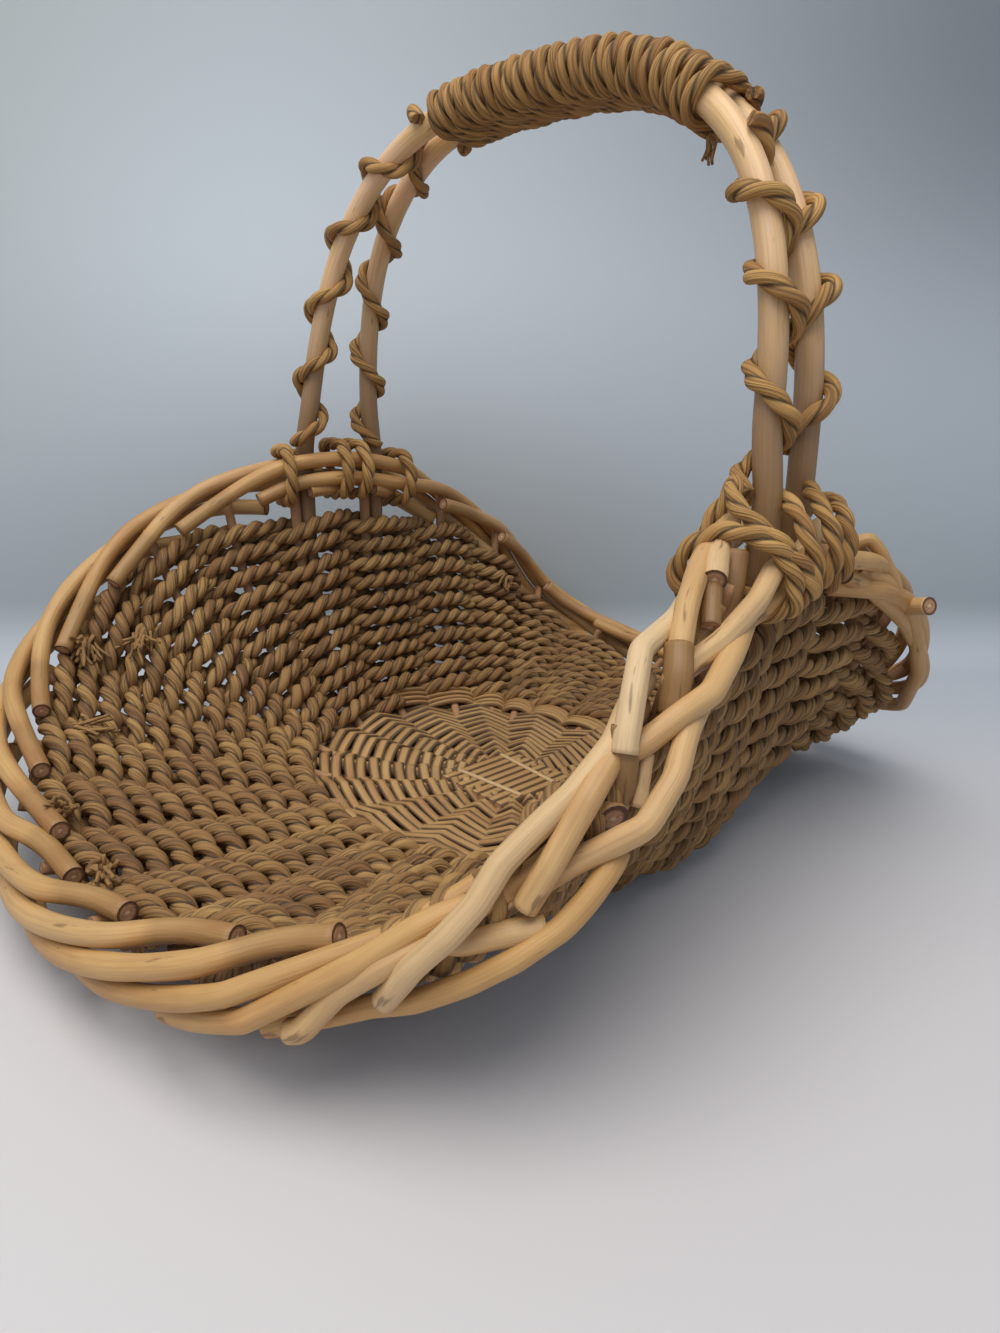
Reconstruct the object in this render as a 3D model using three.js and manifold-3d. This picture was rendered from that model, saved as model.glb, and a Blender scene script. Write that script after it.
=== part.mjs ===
// Scoop basket: a gathering basket with a low scoop at each end, high sides and one arched handle.
// Lengths are millimetres. +Z is up, the front scoop points to -X and Y runs across the handle.
// The origin is on the underside of the base, below the middle of the handle's feet.

import * as THREE from 'three';
import { mergeVertices } from 'three/addons/utils/BufferGeometryUtils.js';
import Module from 'manifold-3d';

const wasm = await Module();
wasm.setup();

// Rim centreline: reach and height of each end, and the feet of the handle on the high sides.
const frontReach = 215;
const frontLipHeight = 26;
const frontQuarter = { x: -181, y: 140, z: 56 };
const frontShoulder = { x: -103, y: 173, z: 124 };
const footX = 8;
const footHalfSpan = 145;
const footHeight = 159;
const backShoulder = { x: 129, y: 146, z: 115 };
const backQuarter = { x: 187, y: 123, z: 52 };
const backReach = 190;
const backLipHeight = 30;

// Oval base.
const baseHalfLength = 88;
const baseHalfWidth = 109;
const baseCentreX = 3;
const baseThickness = 14;
const baseEdgeRound = 3;
const socketHeight = 9.8;
const socketDepth = 14;
const socketLead = 1.8;
const socketClearance = 0.8;
const socketMouth = 4;
const socketEndGap = 1;
const baseCorners = 32;
const wallBulge = 12;
const bulgeOut = 0.55;
const bulgeUp = 0.2;
const rimDivisions = 1440;

// Stakes, the upright rods that the ropes are woven round.
const stakesPerFrontQuarter = 7;
const stakesPerBackQuarter = 5;
const stakeRadius = 2.3;
const stakeTopGap = 5;
const stakeSeatGap = 0.35;
const stakeSeatStep = 0.1;
const longestStakeRise = 14;
const stakeSteps = 5;
const stepCrowding = 1.3;
const rodSides = 5;

// Woven wall: two ropes twined round the stakes in one long spiral.
const ropeRadius = 3.3;
const rowTurns = 10.5;
const firstRowOffset = 6.8;
const topRowGap = 13.5;
const topRowGapAtFeet = 31;
const crossingGap = 0.5;
const ropeClearance = 1;

// Rolled border of overlapping rods.
const borderButtRadius = 4.5;
const borderTipRadius = 4.05;
const rodsPerFrontQuarter = 7;
const rodsPerBackQuarter = 5;
const rodsAcross = 4;
const rodSectionSpacing = 22;
const farLevelMargin = 11;
const nearLevelMargin = 13;

// How far the wall leans out, from 0 upright to 1 level, where the border starts to take the lip's form
// and where it has it whole.
const lipSlopeStart = 0.05;
const lipSlopeFull = 0.75;

// Handle: two rods side by side, spread at the feet and drawn together at the grip.
const handleRodRadius = 5.5;
const handleTipRadius = 2.4;
const legTaper = 2.2;
const legSteps = 8;
const handleTop = 334;
const archFootRise = 7;
const archSquareness = 2.8;
const archFootX = 6;
const archTopX = 14;
const nearFootSpread = 15.8;
const farFootSpread = 22.9;
const topSpread = 8.3;
const archSteps = 20;
const archTrim = 0.004;
const archDivisions = 600;
const handleSides = 6;

// Rope windings on the handle.
const gripRopeRadius = 2.6;
const gripLoops = 23;
const gripPitch = 6.3;
const gripCentreShift = -22;
const legRopeRadius = 2.9;
const legWindingPitch = 39;
const nearLegTurns = 3.3;
const farLegTurns = 4.5;
const legWindingStart = 20;

// Rope lashings that bind the handle's feet to the border.
const farLashingRadius = 3.8;
const nearLashingRadius = 3.9;
const farLashingPlaces = [36, 5, -6.5, -37];
const nearLashingPlaces = [-38, -28.5, 0, 29];

// Running clearance between pieces that touch on the real basket.
const clearance = 0.45;

// Stretch of rim beside each foot over which the border and the weave change for the handle.
const footZoneInner = 38;
const footZoneOuter = 90;

const willow = { color: 0xc4a06c, roughness: 0.6 };
const paleWillow = { color: 0xd6ba8c, roughness: 0.6 };
const stakeWood = { color: 0xa97f58, roughness: 0.7 };
const seagrass = { color: 0x97774a, roughness: 0.85 };
const splitWillow = { color: 0xa3804e, roughness: 0.8 };

const group = new THREE.Group();
group.name = 'scoop_basket';

function addPiece(name, geometry, look) {
  const material = new THREE.MeshStandardMaterial({ ...look, metalness: 0 });
  const mesh = new THREE.Mesh(geometry, material);
  mesh.name = name;
  group.add(mesh);
}

function twoDigits(number) {
  return String(number).padStart(2, '0');
}

function smoothStep(from, to, value) {
  const share = THREE.MathUtils.clamp((value - from) / (to - from), 0, 1);
  return share * share * (3 - 2 * share);
}

// A closed solid through a row of section rings, all with the same number of corners.
function loft(rings) {
  const sides = rings[0].length;
  const positions = [];
  const index = [];
  for (const ring of rings) {
    for (const corner of ring) positions.push(corner.x, corner.y, corner.z);
  }
  for (let i = 0; i < rings.length - 1; i += 1) {
    for (let j = 0; j < sides; j += 1) {
      const a = i * sides + j;
      const b = i * sides + ((j + 1) % sides);
      index.push(a, b, b + sides, a, b + sides, a + sides);
    }
  }
  const last = (rings.length - 1) * sides;
  for (let j = 1; j < sides - 1; j += 1) {
    index.push(0, j + 1, j);
    index.push(last, last + j, last + j + 1);
  }
  const geometry = new THREE.BufferGeometry();
  geometry.setAttribute('position', new THREE.Float32BufferAttribute(positions, 3));
  geometry.setIndex(index);
  return facingOut(geometry);
}

function facingOut(geometry) {
  const position = geometry.getAttribute('position');
  const index = geometry.getIndex();
  const a = new THREE.Vector3();
  const b = new THREE.Vector3();
  const c = new THREE.Vector3();
  let volume = 0;
  for (let i = 0; i < index.count; i += 3) {
    a.fromBufferAttribute(position, index.getX(i));
    b.fromBufferAttribute(position, index.getX(i + 1));
    c.fromBufferAttribute(position, index.getX(i + 2));
    volume += a.dot(b.cross(c));
  }
  if (volume < 0) {
    for (let i = 0; i < index.count; i += 3) {
      const second = index.getX(i + 1);
      index.setX(i + 1, index.getX(i + 2));
      index.setX(i + 2, second);
    }
  }
  geometry.computeVertexNormals();
  return geometry;
}

function tangentsOf(points) {
  return points.map((point, i) => {
    const before = points[Math.max(i - 1, 0)];
    const after = points[Math.min(i + 1, points.length - 1)];
    return after.clone().sub(before).normalize();
  });
}

// A round rod through points. radii gives one radius a point, and guide a direction across the rod.
function rodSolid(points, radii, guides, sides) {
  const tangents = tangentsOf(points);
  const rings = points.map((point, i) => {
    const across = new THREE.Vector3().crossVectors(guides[i], tangents[i]).normalize();
    const up = new THREE.Vector3().crossVectors(tangents[i], across);
    const ring = [];
    for (let j = 0; j < sides; j += 1) {
      const angle = (2 * Math.PI * j) / sides;
      ring.push(point.clone()
        .addScaledVector(across, radii[i] * Math.cos(angle))
        .addScaledVector(up, radii[i] * Math.sin(angle)));
    }
    return ring;
  });
  return loft(rings);
}

// Rim: stations from the back lip round the far side to the front lip, mirrored on the near side.
const rimHalf = [
  new THREE.Vector3(backReach, 0, backLipHeight),
  new THREE.Vector3(backQuarter.x, backQuarter.y, backQuarter.z),
  new THREE.Vector3(backShoulder.x, backShoulder.y, backShoulder.z),
  new THREE.Vector3(footX, footHalfSpan, footHeight),
  new THREE.Vector3(frontShoulder.x, frontShoulder.y, frontShoulder.z),
  new THREE.Vector3(frontQuarter.x, frontQuarter.y, frontQuarter.z),
  new THREE.Vector3(-frontReach, 0, frontLipHeight),
];
const rimMirrored = rimHalf.slice(1, -1).reverse().map((p) => new THREE.Vector3(p.x, -p.y, p.z));
const rimCurve = new THREE.CatmullRomCurve3([...rimHalf, ...rimMirrored], true, 'catmullrom', 0.5);
rimCurve.arcLengthDivisions = rimDivisions;
const rimLength = rimCurve.getLength();
const rimStations = rimHalf.length + rimMirrored.length;

function rimDistanceOfStation(station) {
  const lengths = rimCurve.getLengths();
  return lengths[Math.round((station * rimDivisions) / rimStations)];
}

const farFoot = rimDistanceOfStation(3);
const nearFoot = rimDistanceOfStation(9);

function wrapped(distance) {
  return ((distance % rimLength) + rimLength) % rimLength;
}

function rimPoint(distance) {
  return rimCurve.getPointAt(wrapped(distance) / rimLength);
}

// Each stake line runs from the base's edge to the rim as a curve that swells outward.
function stakeLine(distance) {
  const rim = rimPoint(distance);
  const angle = Math.atan2(rim.y / baseHalfWidth, (rim.x - baseCentreX) / baseHalfLength);
  const outward = new THREE.Vector3(Math.cos(angle), Math.sin(angle), 0);
  const foot = new THREE.Vector3(
    baseCentreX + baseHalfLength * outward.x,
    baseHalfWidth * outward.y,
    socketHeight,
  );
  const rise = rim.clone().sub(foot);
  const steepness = rise.z / rise.length();
  const middle = foot.clone().add(new THREE.Vector3(bulgeOut * rise.x, bulgeOut * rise.y, bulgeUp * rise.z));
  middle.addScaledVector(outward, wallBulge * steepness);
  return new THREE.QuadraticBezierCurve3(foot, middle, rim);
}

// A point of the wall at a distance round the rim and a length up from the base's edge,
// with the directions along the rim, up the wall and out through it.
const undersideWeight = 20;

function wallPlace(distance, up) {
  const line = stakeLine(distance);
  const length = line.getLength();
  const share = THREE.MathUtils.clamp(up / length, 0, 1);
  const point = line.getPointAt(share);
  const rising = line.getTangentAt(share);
  const ahead = stakeLine(distance + 1).getPointAt(share);
  const behind = stakeLine(distance - 1).getPointAt(share);
  const along = ahead.sub(behind).normalize();
  const outward = new THREE.Vector3().crossVectors(rising, along).normalize();
  const away = new THREE.Vector3(point.x - baseCentreX, point.y, -undersideWeight);
  if (outward.dot(away) < 0) outward.negate();
  return { point, rising, along, outward, length };
}

// Distances round the rim of every upright: stakes, and the handle's four legs among them.
function spread(from, to, count) {
  const places = [];
  for (let i = 1; i <= count; i += 1) places.push(from + ((to - from) * i) / (count + 1));
  return places;
}

const frontStakes = spread(farFoot + farFootSpread, nearFoot - nearFootSpread, 2 * stakesPerFrontQuarter);
const lastFoot = rimLength + farFoot;
const backStakes = spread(nearFoot + nearFootSpread, lastFoot - farFootSpread, 2 * stakesPerBackQuarter);
const uprights = [
  { place: farFoot - farFootSpread, leg: true },
  { place: farFoot + farFootSpread, leg: true },
  ...frontStakes.map((place) => ({ place, leg: false })),
  { place: nearFoot - nearFootSpread, leg: true },
  { place: nearFoot + nearFootSpread, leg: true },
  ...backStakes.map((place) => ({ place, leg: false })),
];

function placeOfUpright(index) {
  const turn = Math.floor(index / uprights.length);
  return uprights[index - turn * uprights.length].place + turn * rimLength;
}

// A handle leg is thin at the base and full at the border.
function legRadius(up, length) {
  const share = THREE.MathUtils.clamp(up / length, 0, 1);
  return handleTipRadius + (handleRodRadius - handleTipRadius) * share ** legTaper;
}

function uprightRadius(index, up, length) {
  return uprights[index % uprights.length].leg ? legRadius(up, length) : stakeRadius;
}

// Near the handle's feet the rim is left clear for the lashings: 1 at a foot, 0 well away from it.
function nearnessToFoot(distance) {
  const around = wrapped(distance);
  const off = Math.min(Math.abs(around - farFoot), Math.abs(around - nearFoot));
  return 1 - smoothStep(footZoneInner, footZoneOuter, off);
}

// Length up the wall of a row, counted in turns of the spiral.
function rowHeight(turns, place, length) {
  const topGap = topRowGap + (topRowGapAtFeet - topRowGap) * nearnessToFoot(place);
  const pitch = (length - firstRowOffset - topGap) / rowTurns;
  return { up: firstRowOffset + turns * pitch, pitch };
}

// One rope of the twined pair: it passes inside one upright and outside the next,
// and between two uprights it crosses its partner, the one above the other.
function twinedRope(partner) {
  const rings = [];
  const halfSteps = Math.round(rowTurns * uprights.length * 2);
  for (let step = 0; step <= halfSteps; step += 1) {
    const index = Math.floor(step / 2);
    const crossing = step % 2 === 1;
    const before = placeOfUpright(index);
    const place = crossing ? (before + placeOfUpright(index + 1)) / 2 : before;
    const length = stakeLine(place).getLength();
    const { up, pitch } = rowHeight(step / (2 * uprights.length), place, length);
    const wall = wallPlace(place, up);
    const side = (index + partner) % 2 === 0 ? 1 : -1;
    const centre = wall.point.clone();
    const halfHeight = crossing ? pitch / 4 - crossingGap / 2 : ropeRadius;
    if (crossing) {
      centre.addScaledVector(wall.rising, (-side * pitch) / 4);
    } else {
      const off = uprightRadius(index, up, length) + ropeClearance + ropeRadius;
      centre.addScaledVector(wall.outward, -side * off);
    }
    const forward = wall.along;
    const across = new THREE.Vector3().crossVectors(forward, wall.rising).normalize();
    rings.push([
      centre.clone().addScaledVector(across, ropeRadius),
      centre.clone().addScaledVector(wall.rising, halfHeight),
      centre.clone().addScaledVector(across, -ropeRadius),
      centre.clone().addScaledVector(wall.rising, -halfHeight),
    ]);
  }
  return loft(rings);
}

addPiece('weave_rope_a', twinedRope(0), seagrass);
addPiece('weave_rope_b', twinedRope(1), seagrass);

// Stakes: from a socket in the base straight out of its edge, up the wall and into the border.
function stakeRoute(place, to, steps) {
  const line = stakeLine(place);
  const level = line.getTangentAt(0).setZ(0).normalize();
  const foot = line.getPoint(0);
  const points = [
    foot.clone().addScaledVector(level, socketEndGap - socketDepth),
    foot.clone().addScaledVector(level, socketLead),
  ];
  for (let i = 1; i <= steps; i += 1) points.push(line.getPointAt(to * (i / steps) ** stepCrowding));
  return points;
}

// Places of a rod across the rolled border, from its outside end over the top to its inside end.
// Each pair is out through the wall and up along it, measured from the rim's centreline. A rod
// starts part of a step after the first pair and ends part of a step after the last but one.
const sideRoll = [[12.2, -13.5], [13.2, -2.8], [8.2, 5.6], [-1.2, 7.6], [-8.2, 1], [-10.6, -8.4]];
const footRoll = [[13.5, -16.5], [15.5, -4.5], [10.9, 6], [-10.9, 7], [-12.3, -4], [-13, -14.5]];
const lipRoll = [[18, -0.8], [13, 8.6], [4.6, 13.2], [-4.6, 10.4], [-9.4, 2.2], [-10.6, -7.5]];
const rollShift = 0.6;

function rollPlace(roll, progress) {
  const along = progress + 1 - rollShift;
  const from = Math.min(Math.floor(along), roll.length - 2);
  const share = along - from;
  const at = (i) => roll[THREE.MathUtils.clamp(i, 0, roll.length - 1)];
  const mix = (axis) => {
    const [a, b, c, d] = [at(from - 1)[axis], at(from)[axis], at(from + 1)[axis], at(from + 2)[axis]];
    const cubic = 3 * b - a - 3 * c + d;
    const square = 2 * a - 5 * b + 4 * c - d;
    return 0.5 * (2 * b + (c - a) * share + square * share ** 2 + cubic * share ** 3);
  };
  return [mix(0), mix(1)];
}

// Round the rim the rods follow one another evenly, but run level past the handle's legs.
const farZone = farFootSpread + farLevelMargin;
const nearZone = nearFootSpread + nearLevelMargin;
const rodKnots = [
  [farFoot + farZone - rimLength, -rodsPerBackQuarter - 2 * rodsPerFrontQuarter],
  [nearFoot - nearZone - rimLength, -rodsPerBackQuarter],
  [nearFoot + nearZone - rimLength, -rodsPerBackQuarter],
  [farFoot - farZone, rodsPerBackQuarter],
  [farFoot + farZone, rodsPerBackQuarter],
  [nearFoot - nearZone, rodsPerBackQuarter + 2 * rodsPerFrontQuarter],
  [nearFoot + nearZone, rodsPerBackQuarter + 2 * rodsPerFrontQuarter],
  [farFoot - farZone + rimLength, 3 * rodsPerBackQuarter + 2 * rodsPerFrontQuarter],
];

function rodCount(distance) {
  for (let i = 1; i < rodKnots.length; i += 1) {
    const [from, low] = rodKnots[i - 1];
    const [to, high] = rodKnots[i];
    if (distance <= to) return low + ((high - low) * (distance - from)) / (to - from);
  }
  return rodKnots[rodKnots.length - 1][1];
}

const halvings = 40;

function distanceOfCount(count) {
  let low = rodKnots[0][0];
  let high = rodKnots[rodKnots.length - 1][0];
  for (let i = 0; i < halvings; i += 1) {
    const middle = (low + high) / 2;
    if (rodCount(middle) < count) low = middle;
    else high = middle;
  }
  return (low + high) / 2;
}

function rollPoint(distance, progress) {
  const length = stakeLine(distance).getLength();
  const wall = wallPlace(distance, length);
  const atFoot = nearnessToFoot(distance);
  const atLip = smoothStep(lipSlopeStart, lipSlopeFull, 1 - wall.rising.z);
  const side = rollPlace(sideRoll, progress);
  const foot = rollPlace(footRoll, progress);
  const lip = rollPlace(lipRoll, progress);
  const blend = (axis) => {
    const plain = side[axis] + (lip[axis] - side[axis]) * atLip;
    return plain + (foot[axis] - plain) * atFoot;
  };
  const point = wall.point.clone()
    .addScaledVector(wall.outward, blend(0))
    .addScaledVector(wall.rising, blend(1));
  return { point, guide: wall.rising };
}

// The ends and the middle of each stretch where the rods run level.
const footPlaces = [nearFoot - rimLength, farFoot, nearFoot];
const levelPlaces = [...rodKnots.map((knot) => knot[0]), ...footPlaces].sort((a, b) => a - b);

// Neighbouring rods take their sections at the same distances round the rim, so their faces run side by side.
function sectionDistances(firstCount) {
  const distances = [];
  for (let count = firstCount; count < firstCount + rodsAcross; count += 1) {
    const from = distanceOfCount(count);
    const to = distanceOfCount(count + 1);
    const level = levelPlaces.filter((place) => place > from && place < to);
    if (level.length > 0) {
      distances.push(from, ...level);
    } else {
      const sections = Math.round((to - from) / rodSectionSpacing);
      for (let i = 0; i < sections; i += 1) distances.push(distanceOfCount(count + i / sections));
    }
  }
  distances.push(distanceOfCount(firstCount + rodsAcross));
  return distances;
}

const borderRods = 2 * (rodsPerFrontQuarter + rodsPerBackQuarter);
const borderPlaces = [];
const placesPerSection = 10;
for (let rod = 0; rod < borderRods; rod += 1) {
  const firstCount = rod + 1 - rodsPerBackQuarter - rollShift;
  const places = sectionDistances(firstCount).map((distance) => {
    const progress = rodCount(distance) - firstCount;
    return rollPoint(distance, THREE.MathUtils.clamp(progress, 0, rodsAcross));
  });
  const points = places.map((place) => place.point);
  for (let i = 0; i < points.length - 1; i += 1) {
    for (let j = 0; j < placesPerSection; j += 1) {
      borderPlaces.push(points[i].clone().lerp(points[i + 1], j / placesPerSection));
    }
  }
  const guides = places.map((place) => place.guide);
  const taper = (borderTipRadius - borderButtRadius) / (places.length - 1);
  const radii = places.map((place, i) => borderButtRadius + taper * i);
  addPiece(`border_rod_${twoDigits(rod + 1)}`, rodSolid(points, radii, guides, rodSides), willow);
}

// Each stake runs up past the rim until its end meets a rod of the border.
function stakeRise(end, direction) {
  const offset = new THREE.Vector3();
  for (let rise = 0; rise < longestStakeRise; rise += stakeSeatStep) {
    const top = end.clone().addScaledVector(direction, rise);
    for (const place of borderPlaces) {
      offset.subVectors(place, top);
      const above = offset.dot(direction);
      const beside = offset.addScaledVector(direction, -above).length();
      const gap = Math.hypot(Math.max(beside - stakeRadius, 0), Math.max(above, 0)) - borderButtRadius;
      if (gap < stakeSeatGap) return rise;
    }
  }
  return 0;
}

const stakePlaces = uprights.filter((upright) => !upright.leg).map((upright) => upright.place);
stakePlaces.forEach((place, i) => {
  const line = stakeLine(place);
  const length = line.getLength();
  const points = stakeRoute(place, 1 - stakeTopGap / length, stakeSteps);
  const direction = line.getTangentAt(1);
  const end = points[points.length - 1];
  end.addScaledVector(direction, stakeRise(end, direction));
  const guides = points.map(() => wallPlace(place, length / 2).along);
  const radii = points.map(() => stakeRadius);
  addPiece(`stake_${twoDigits(i + 1)}`, rodSolid(points, radii, guides, rodSides), stakeWood);
});

// Handle arch: a squarish arch from the near foot (share 0) to the far foot (share 1).
function archPoint(share, side) {
  const angle = Math.PI * share;
  const power = 2 / archSquareness;
  const run = Math.abs(Math.cos(angle)) ** power * Math.sign(-Math.cos(angle));
  const rise = Math.max(Math.sin(angle), 0) ** power;
  const footSpread = share < 0.5 ? nearFootSpread : farFootSpread;
  const halfGap = topSpread + (footSpread - topSpread) * (1 - rise);
  const z = footHeight + archFootRise + (handleTop - footHeight - archFootRise) * rise;
  const x = archFootX + (archTopX - archFootX) * rise + side * halfGap;
  return new THREE.Vector3(x, footHalfSpan * run, z);
}

// A leg keeps the wall's direction for this length above the rim, and then follows the arch.
const legRise = 15;
const archStart = 0.03;

function legPoints(place) {
  const line = stakeLine(place);
  const length = line.getLength();
  const points = stakeRoute(place, 1, legSteps);
  const radii = points.map((point, i) => {
    const share = Math.max(i - 1, 0) / legSteps;
    return legRadius(length * share ** stepCrowding, length);
  });
  points.push(line.getPoint(1).addScaledVector(line.getTangentAt(1), legRise));
  radii.push(handleRodRadius);
  return { points, radii };
}

function handleRod(side) {
  const near = legPoints(nearFoot + side * nearFootSpread);
  const far = legPoints(farFoot - side * farFootSpread);
  const points = [...near.points];
  const radii = [...near.radii];
  for (let i = 0; i <= archSteps; i += 1) {
    const share = archStart + ((1 - 2 * archStart) * i) / archSteps;
    points.push(archPoint(share, side));
    radii.push(handleRodRadius);
  }
  points.push(...far.points.reverse());
  radii.push(...far.radii.reverse());
  return { points, radii };
}

for (const [name, side] of [['front', -1], ['back', 1]]) {
  const { points, radii } = handleRod(side);
  const guides = points.map(() => new THREE.Vector3(1, 0, 0));
  addPiece(`handle_rod_${name}`, rodSolid(points, radii, guides, handleSides), paleWillow);
}

// The arch measured by length, for the windings.
class Arch extends THREE.Curve {
  constructor(side) {
    super();
    this.side = side;
    this.arcLengthDivisions = archDivisions;
  }

  getPoint(share) {
    return archPoint(archTrim + (1 - 2 * archTrim) * share, this.side);
  }
}

function archPlace(arch, length) {
  const share = THREE.MathUtils.clamp(length / arch.getLength(), 0, 1);
  const point = arch.getPointAt(share);
  const tangent = arch.getTangentAt(share);
  const out = new THREE.Vector3(1, 0, 0).addScaledVector(tangent, -tangent.x).normalize();
  const across = new THREE.Vector3().crossVectors(tangent, out);
  return { point, out, across };
}

// Grip: one rope wound round both rods in flat-sided loops.
const middleArch = new Arch(0);
const stopsPerTurn = 7;
const loopStops = [-90, -45, 0, 45, 90];

function gripWinding() {
  const points = [];
  const start = middleArch.getLength() / 2 + gripCentreShift - (gripLoops * gripPitch) / 2;
  const halfStep = Math.PI / (2 * loopStops.length - 2);
  const reach = (handleRodRadius + clearance + gripRopeRadius) / Math.cos(halfStep);
  const stopsPerLoop = 2 * loopStops.length;
  for (let step = 0; step <= gripLoops * stopsPerLoop; step += 1) {
    const place = archPlace(middleArch, start + (gripPitch * step) / stopsPerLoop);
    const stop = step % stopsPerLoop;
    const side = stop < loopStops.length ? 1 : -1;
    const angle = THREE.MathUtils.degToRad(loopStops[stop % loopStops.length]);
    points.push(place.point.clone()
      .addScaledVector(place.out, side * (topSpread + reach * Math.cos(angle)))
      .addScaledVector(place.across, side * reach * Math.sin(angle)));
  }
  return points;
}

// Leg winding: an open spiral round one leg. The two legs of a foot are wound opposite ways, and
// one runs a little behind the other, so that the ropes pass one over the other between the legs.
const windingStagger = THREE.MathUtils.degToRad(80);

function legWinding(side, near) {
  const turns = near ? nearLegTurns : farLegTurns;
  const arch = new Arch(side);
  const whole = arch.getLength();
  const points = [];
  const reach = (handleRodRadius + clearance + legRopeRadius) / Math.cos(Math.PI / stopsPerTurn);
  for (let step = 0; step <= turns * stopsPerTurn; step += 1) {
    const run = legWindingStart + (legWindingPitch * step) / stopsPerTurn;
    const place = archPlace(arch, near ? run : whole - run);
    const phase = side > 0 ? Math.PI + windingStagger : 0;
    const angle = phase + (side * 2 * Math.PI * step) / stopsPerTurn;
    points.push(place.point.clone()
      .addScaledVector(place.out, reach * Math.cos(angle))
      .addScaledVector(place.across, reach * Math.sin(angle)));
  }
  return points;
}

// Lashing: loops round the border beside the legs. The rope moves on to its next place
// only on the outside, so it passes straight between the legs.
const lashingLoop = [[-22.5, -2], [-20.5, 9], [-12.5, 17], [0, 19.8], [10, 18.5], [20, 13], [25.5, 3],
  [26.5, -9], [16, -22], [-3, -22], [-18, -18.5]];
const outsideStop = 5;

function lashing(foot, places) {
  const points = [];
  const addStop = (stop, along) => {
    const [out, up] = lashingLoop[stop];
    const place = foot + along;
    const wall = wallPlace(place, stakeLine(place).getLength());
    points.push(wall.point.clone().addScaledVector(wall.outward, out).addScaledVector(wall.rising, up));
  };
  places.forEach((place, loop) => {
    if (loop > 0) addStop(outsideStop, (places[loop - 1] + place) / 2);
    for (let stop = outsideStop + 1; stop < lashingLoop.length; stop += 1) addStop(stop, place);
    for (let stop = 0; stop < outsideStop; stop += 1) addStop(stop, place);
  });
  return points;
}

// The least gap between stretches of one winding that lie more than half a turn apart.
function leastGap(points, stops, radius) {
  let least = Infinity;
  const segment = new THREE.Line3();
  const nearest = new THREE.Vector3();
  points.forEach((point, i) => {
    for (let j = 0; j < points.length - 1; j += 1) {
      if (Math.abs(j - i) < stops / 2) continue;
      segment.set(points[j], points[j + 1]);
      segment.closestPointToPoint(point, true, nearest);
      least = Math.min(least, nearest.distanceTo(point) - 2 * radius);
    }
  });
  return least;
}

function addWinding(name, points, radius, stops, guide) {
  const guides = points.map(() => guide);
  const radii = points.map(() => radius);
  addPiece(name, rodSolid(points, radii, guides, rodSides), seagrass);
  console.log(`${name}: least gap to itself ${leastGap(points, stops, radius).toFixed(2)} mm`);
}

const alongGrip = new THREE.Vector3(0, 1, 0);
const alongLeg = new THREE.Vector3(0, 0, 1);
const alongRim = new THREE.Vector3(1, 0, 0);
addWinding('grip_winding', gripWinding(), gripRopeRadius, 2 * loopStops.length, alongGrip);
for (const [name, side] of [['front', -1], ['back', 1]]) {
  addWinding(`leg_winding_near_${name}`, legWinding(side, true), legRopeRadius, stopsPerTurn, alongLeg);
  addWinding(`leg_winding_far_${name}`, legWinding(side, false), legRopeRadius, stopsPerTurn, alongLeg);
}
const farLashing = lashing(farFoot, farLashingPlaces);
const nearLashing = lashing(nearFoot, nearLashingPlaces);
addWinding('lashing_far', farLashing, farLashingRadius, lashingLoop.length, alongRim);
addWinding('lashing_near', nearLashing, nearLashingRadius, lashingLoop.length, alongRim);

// Base: a thick oval mat with a rounded edge and a socket for each upright.
const weldDistance = 1e-4;

function solidOf(geometry) {
  const bare = geometry.clone();
  for (const name of Object.keys(bare.attributes)) {
    if (name !== 'position') bare.deleteAttribute(name);
  }
  const merged = mergeVertices(bare, weldDistance);
  return new wasm.Manifold(new wasm.Mesh({
    numProp: 3,
    vertProperties: new Float32Array(merged.getAttribute('position').array),
    triVerts: new Uint32Array(merged.getIndex().array),
  }));
}

function geometryOf(solid) {
  const { vertProperties, triVerts } = solid.getMesh();
  const geometry = new THREE.BufferGeometry();
  geometry.setAttribute('position', new THREE.Float32BufferAttribute(vertProperties, 3));
  geometry.setIndex(new THREE.Uint32BufferAttribute(triVerts, 1));
  geometry.computeVertexNormals();
  return geometry;
}

function baseMat() {
  const r = baseEdgeRound;
  const profile = [[-r, 0], [0, r], [0, baseThickness - r], [-r, baseThickness]];
  const rings = profile.map(([out, z]) => {
    const ring = [];
    for (let i = 0; i < baseCorners; i += 1) {
      const angle = (2 * Math.PI * i) / baseCorners;
      const x = baseCentreX + (baseHalfLength + out) * Math.cos(angle);
      ring.push(new THREE.Vector3(x, (baseHalfWidth + out) * Math.sin(angle), z));
    }
    return ring;
  });
  return loft(rings);
}

let base = solidOf(baseMat());
for (const { place, leg } of uprights) {
  const line = stakeLine(place);
  const inward = line.getTangentAt(0).setZ(0).normalize();
  const mouth = line.getPoint(0).addScaledVector(inward, socketMouth);
  const end = line.getPoint(0).addScaledVector(inward, -socketDepth);
  const radius = (leg ? handleTipRadius : stakeRadius) + socketClearance;
  const guide = new THREE.Vector3(-inward.y, inward.x, 0);
  base = base.subtract(solidOf(rodSolid([end, mouth], [radius, radius], [guide, guide], rodSides)));
}
addPiece('base_mat', geometryOf(base), splitWillow);

export default group;
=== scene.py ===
# %% [markdown]
# # A scoop basket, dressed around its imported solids
# The basket has a flat oval base of split willow, a wall of two seagrass ropes twined round willow
# stakes, a border of rolled willow rods and an arched handle of two rods bound with rope. The packed
# model gives the place of everything. Each plain solid is replaced here by a finished piece that
# follows the same lines, so the rim, the stakes and the arch are worked out once and used by all.

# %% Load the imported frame
import math

import bmesh
import bpy
import numpy as np
from mathutils import Matrix, Vector, noise


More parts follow.
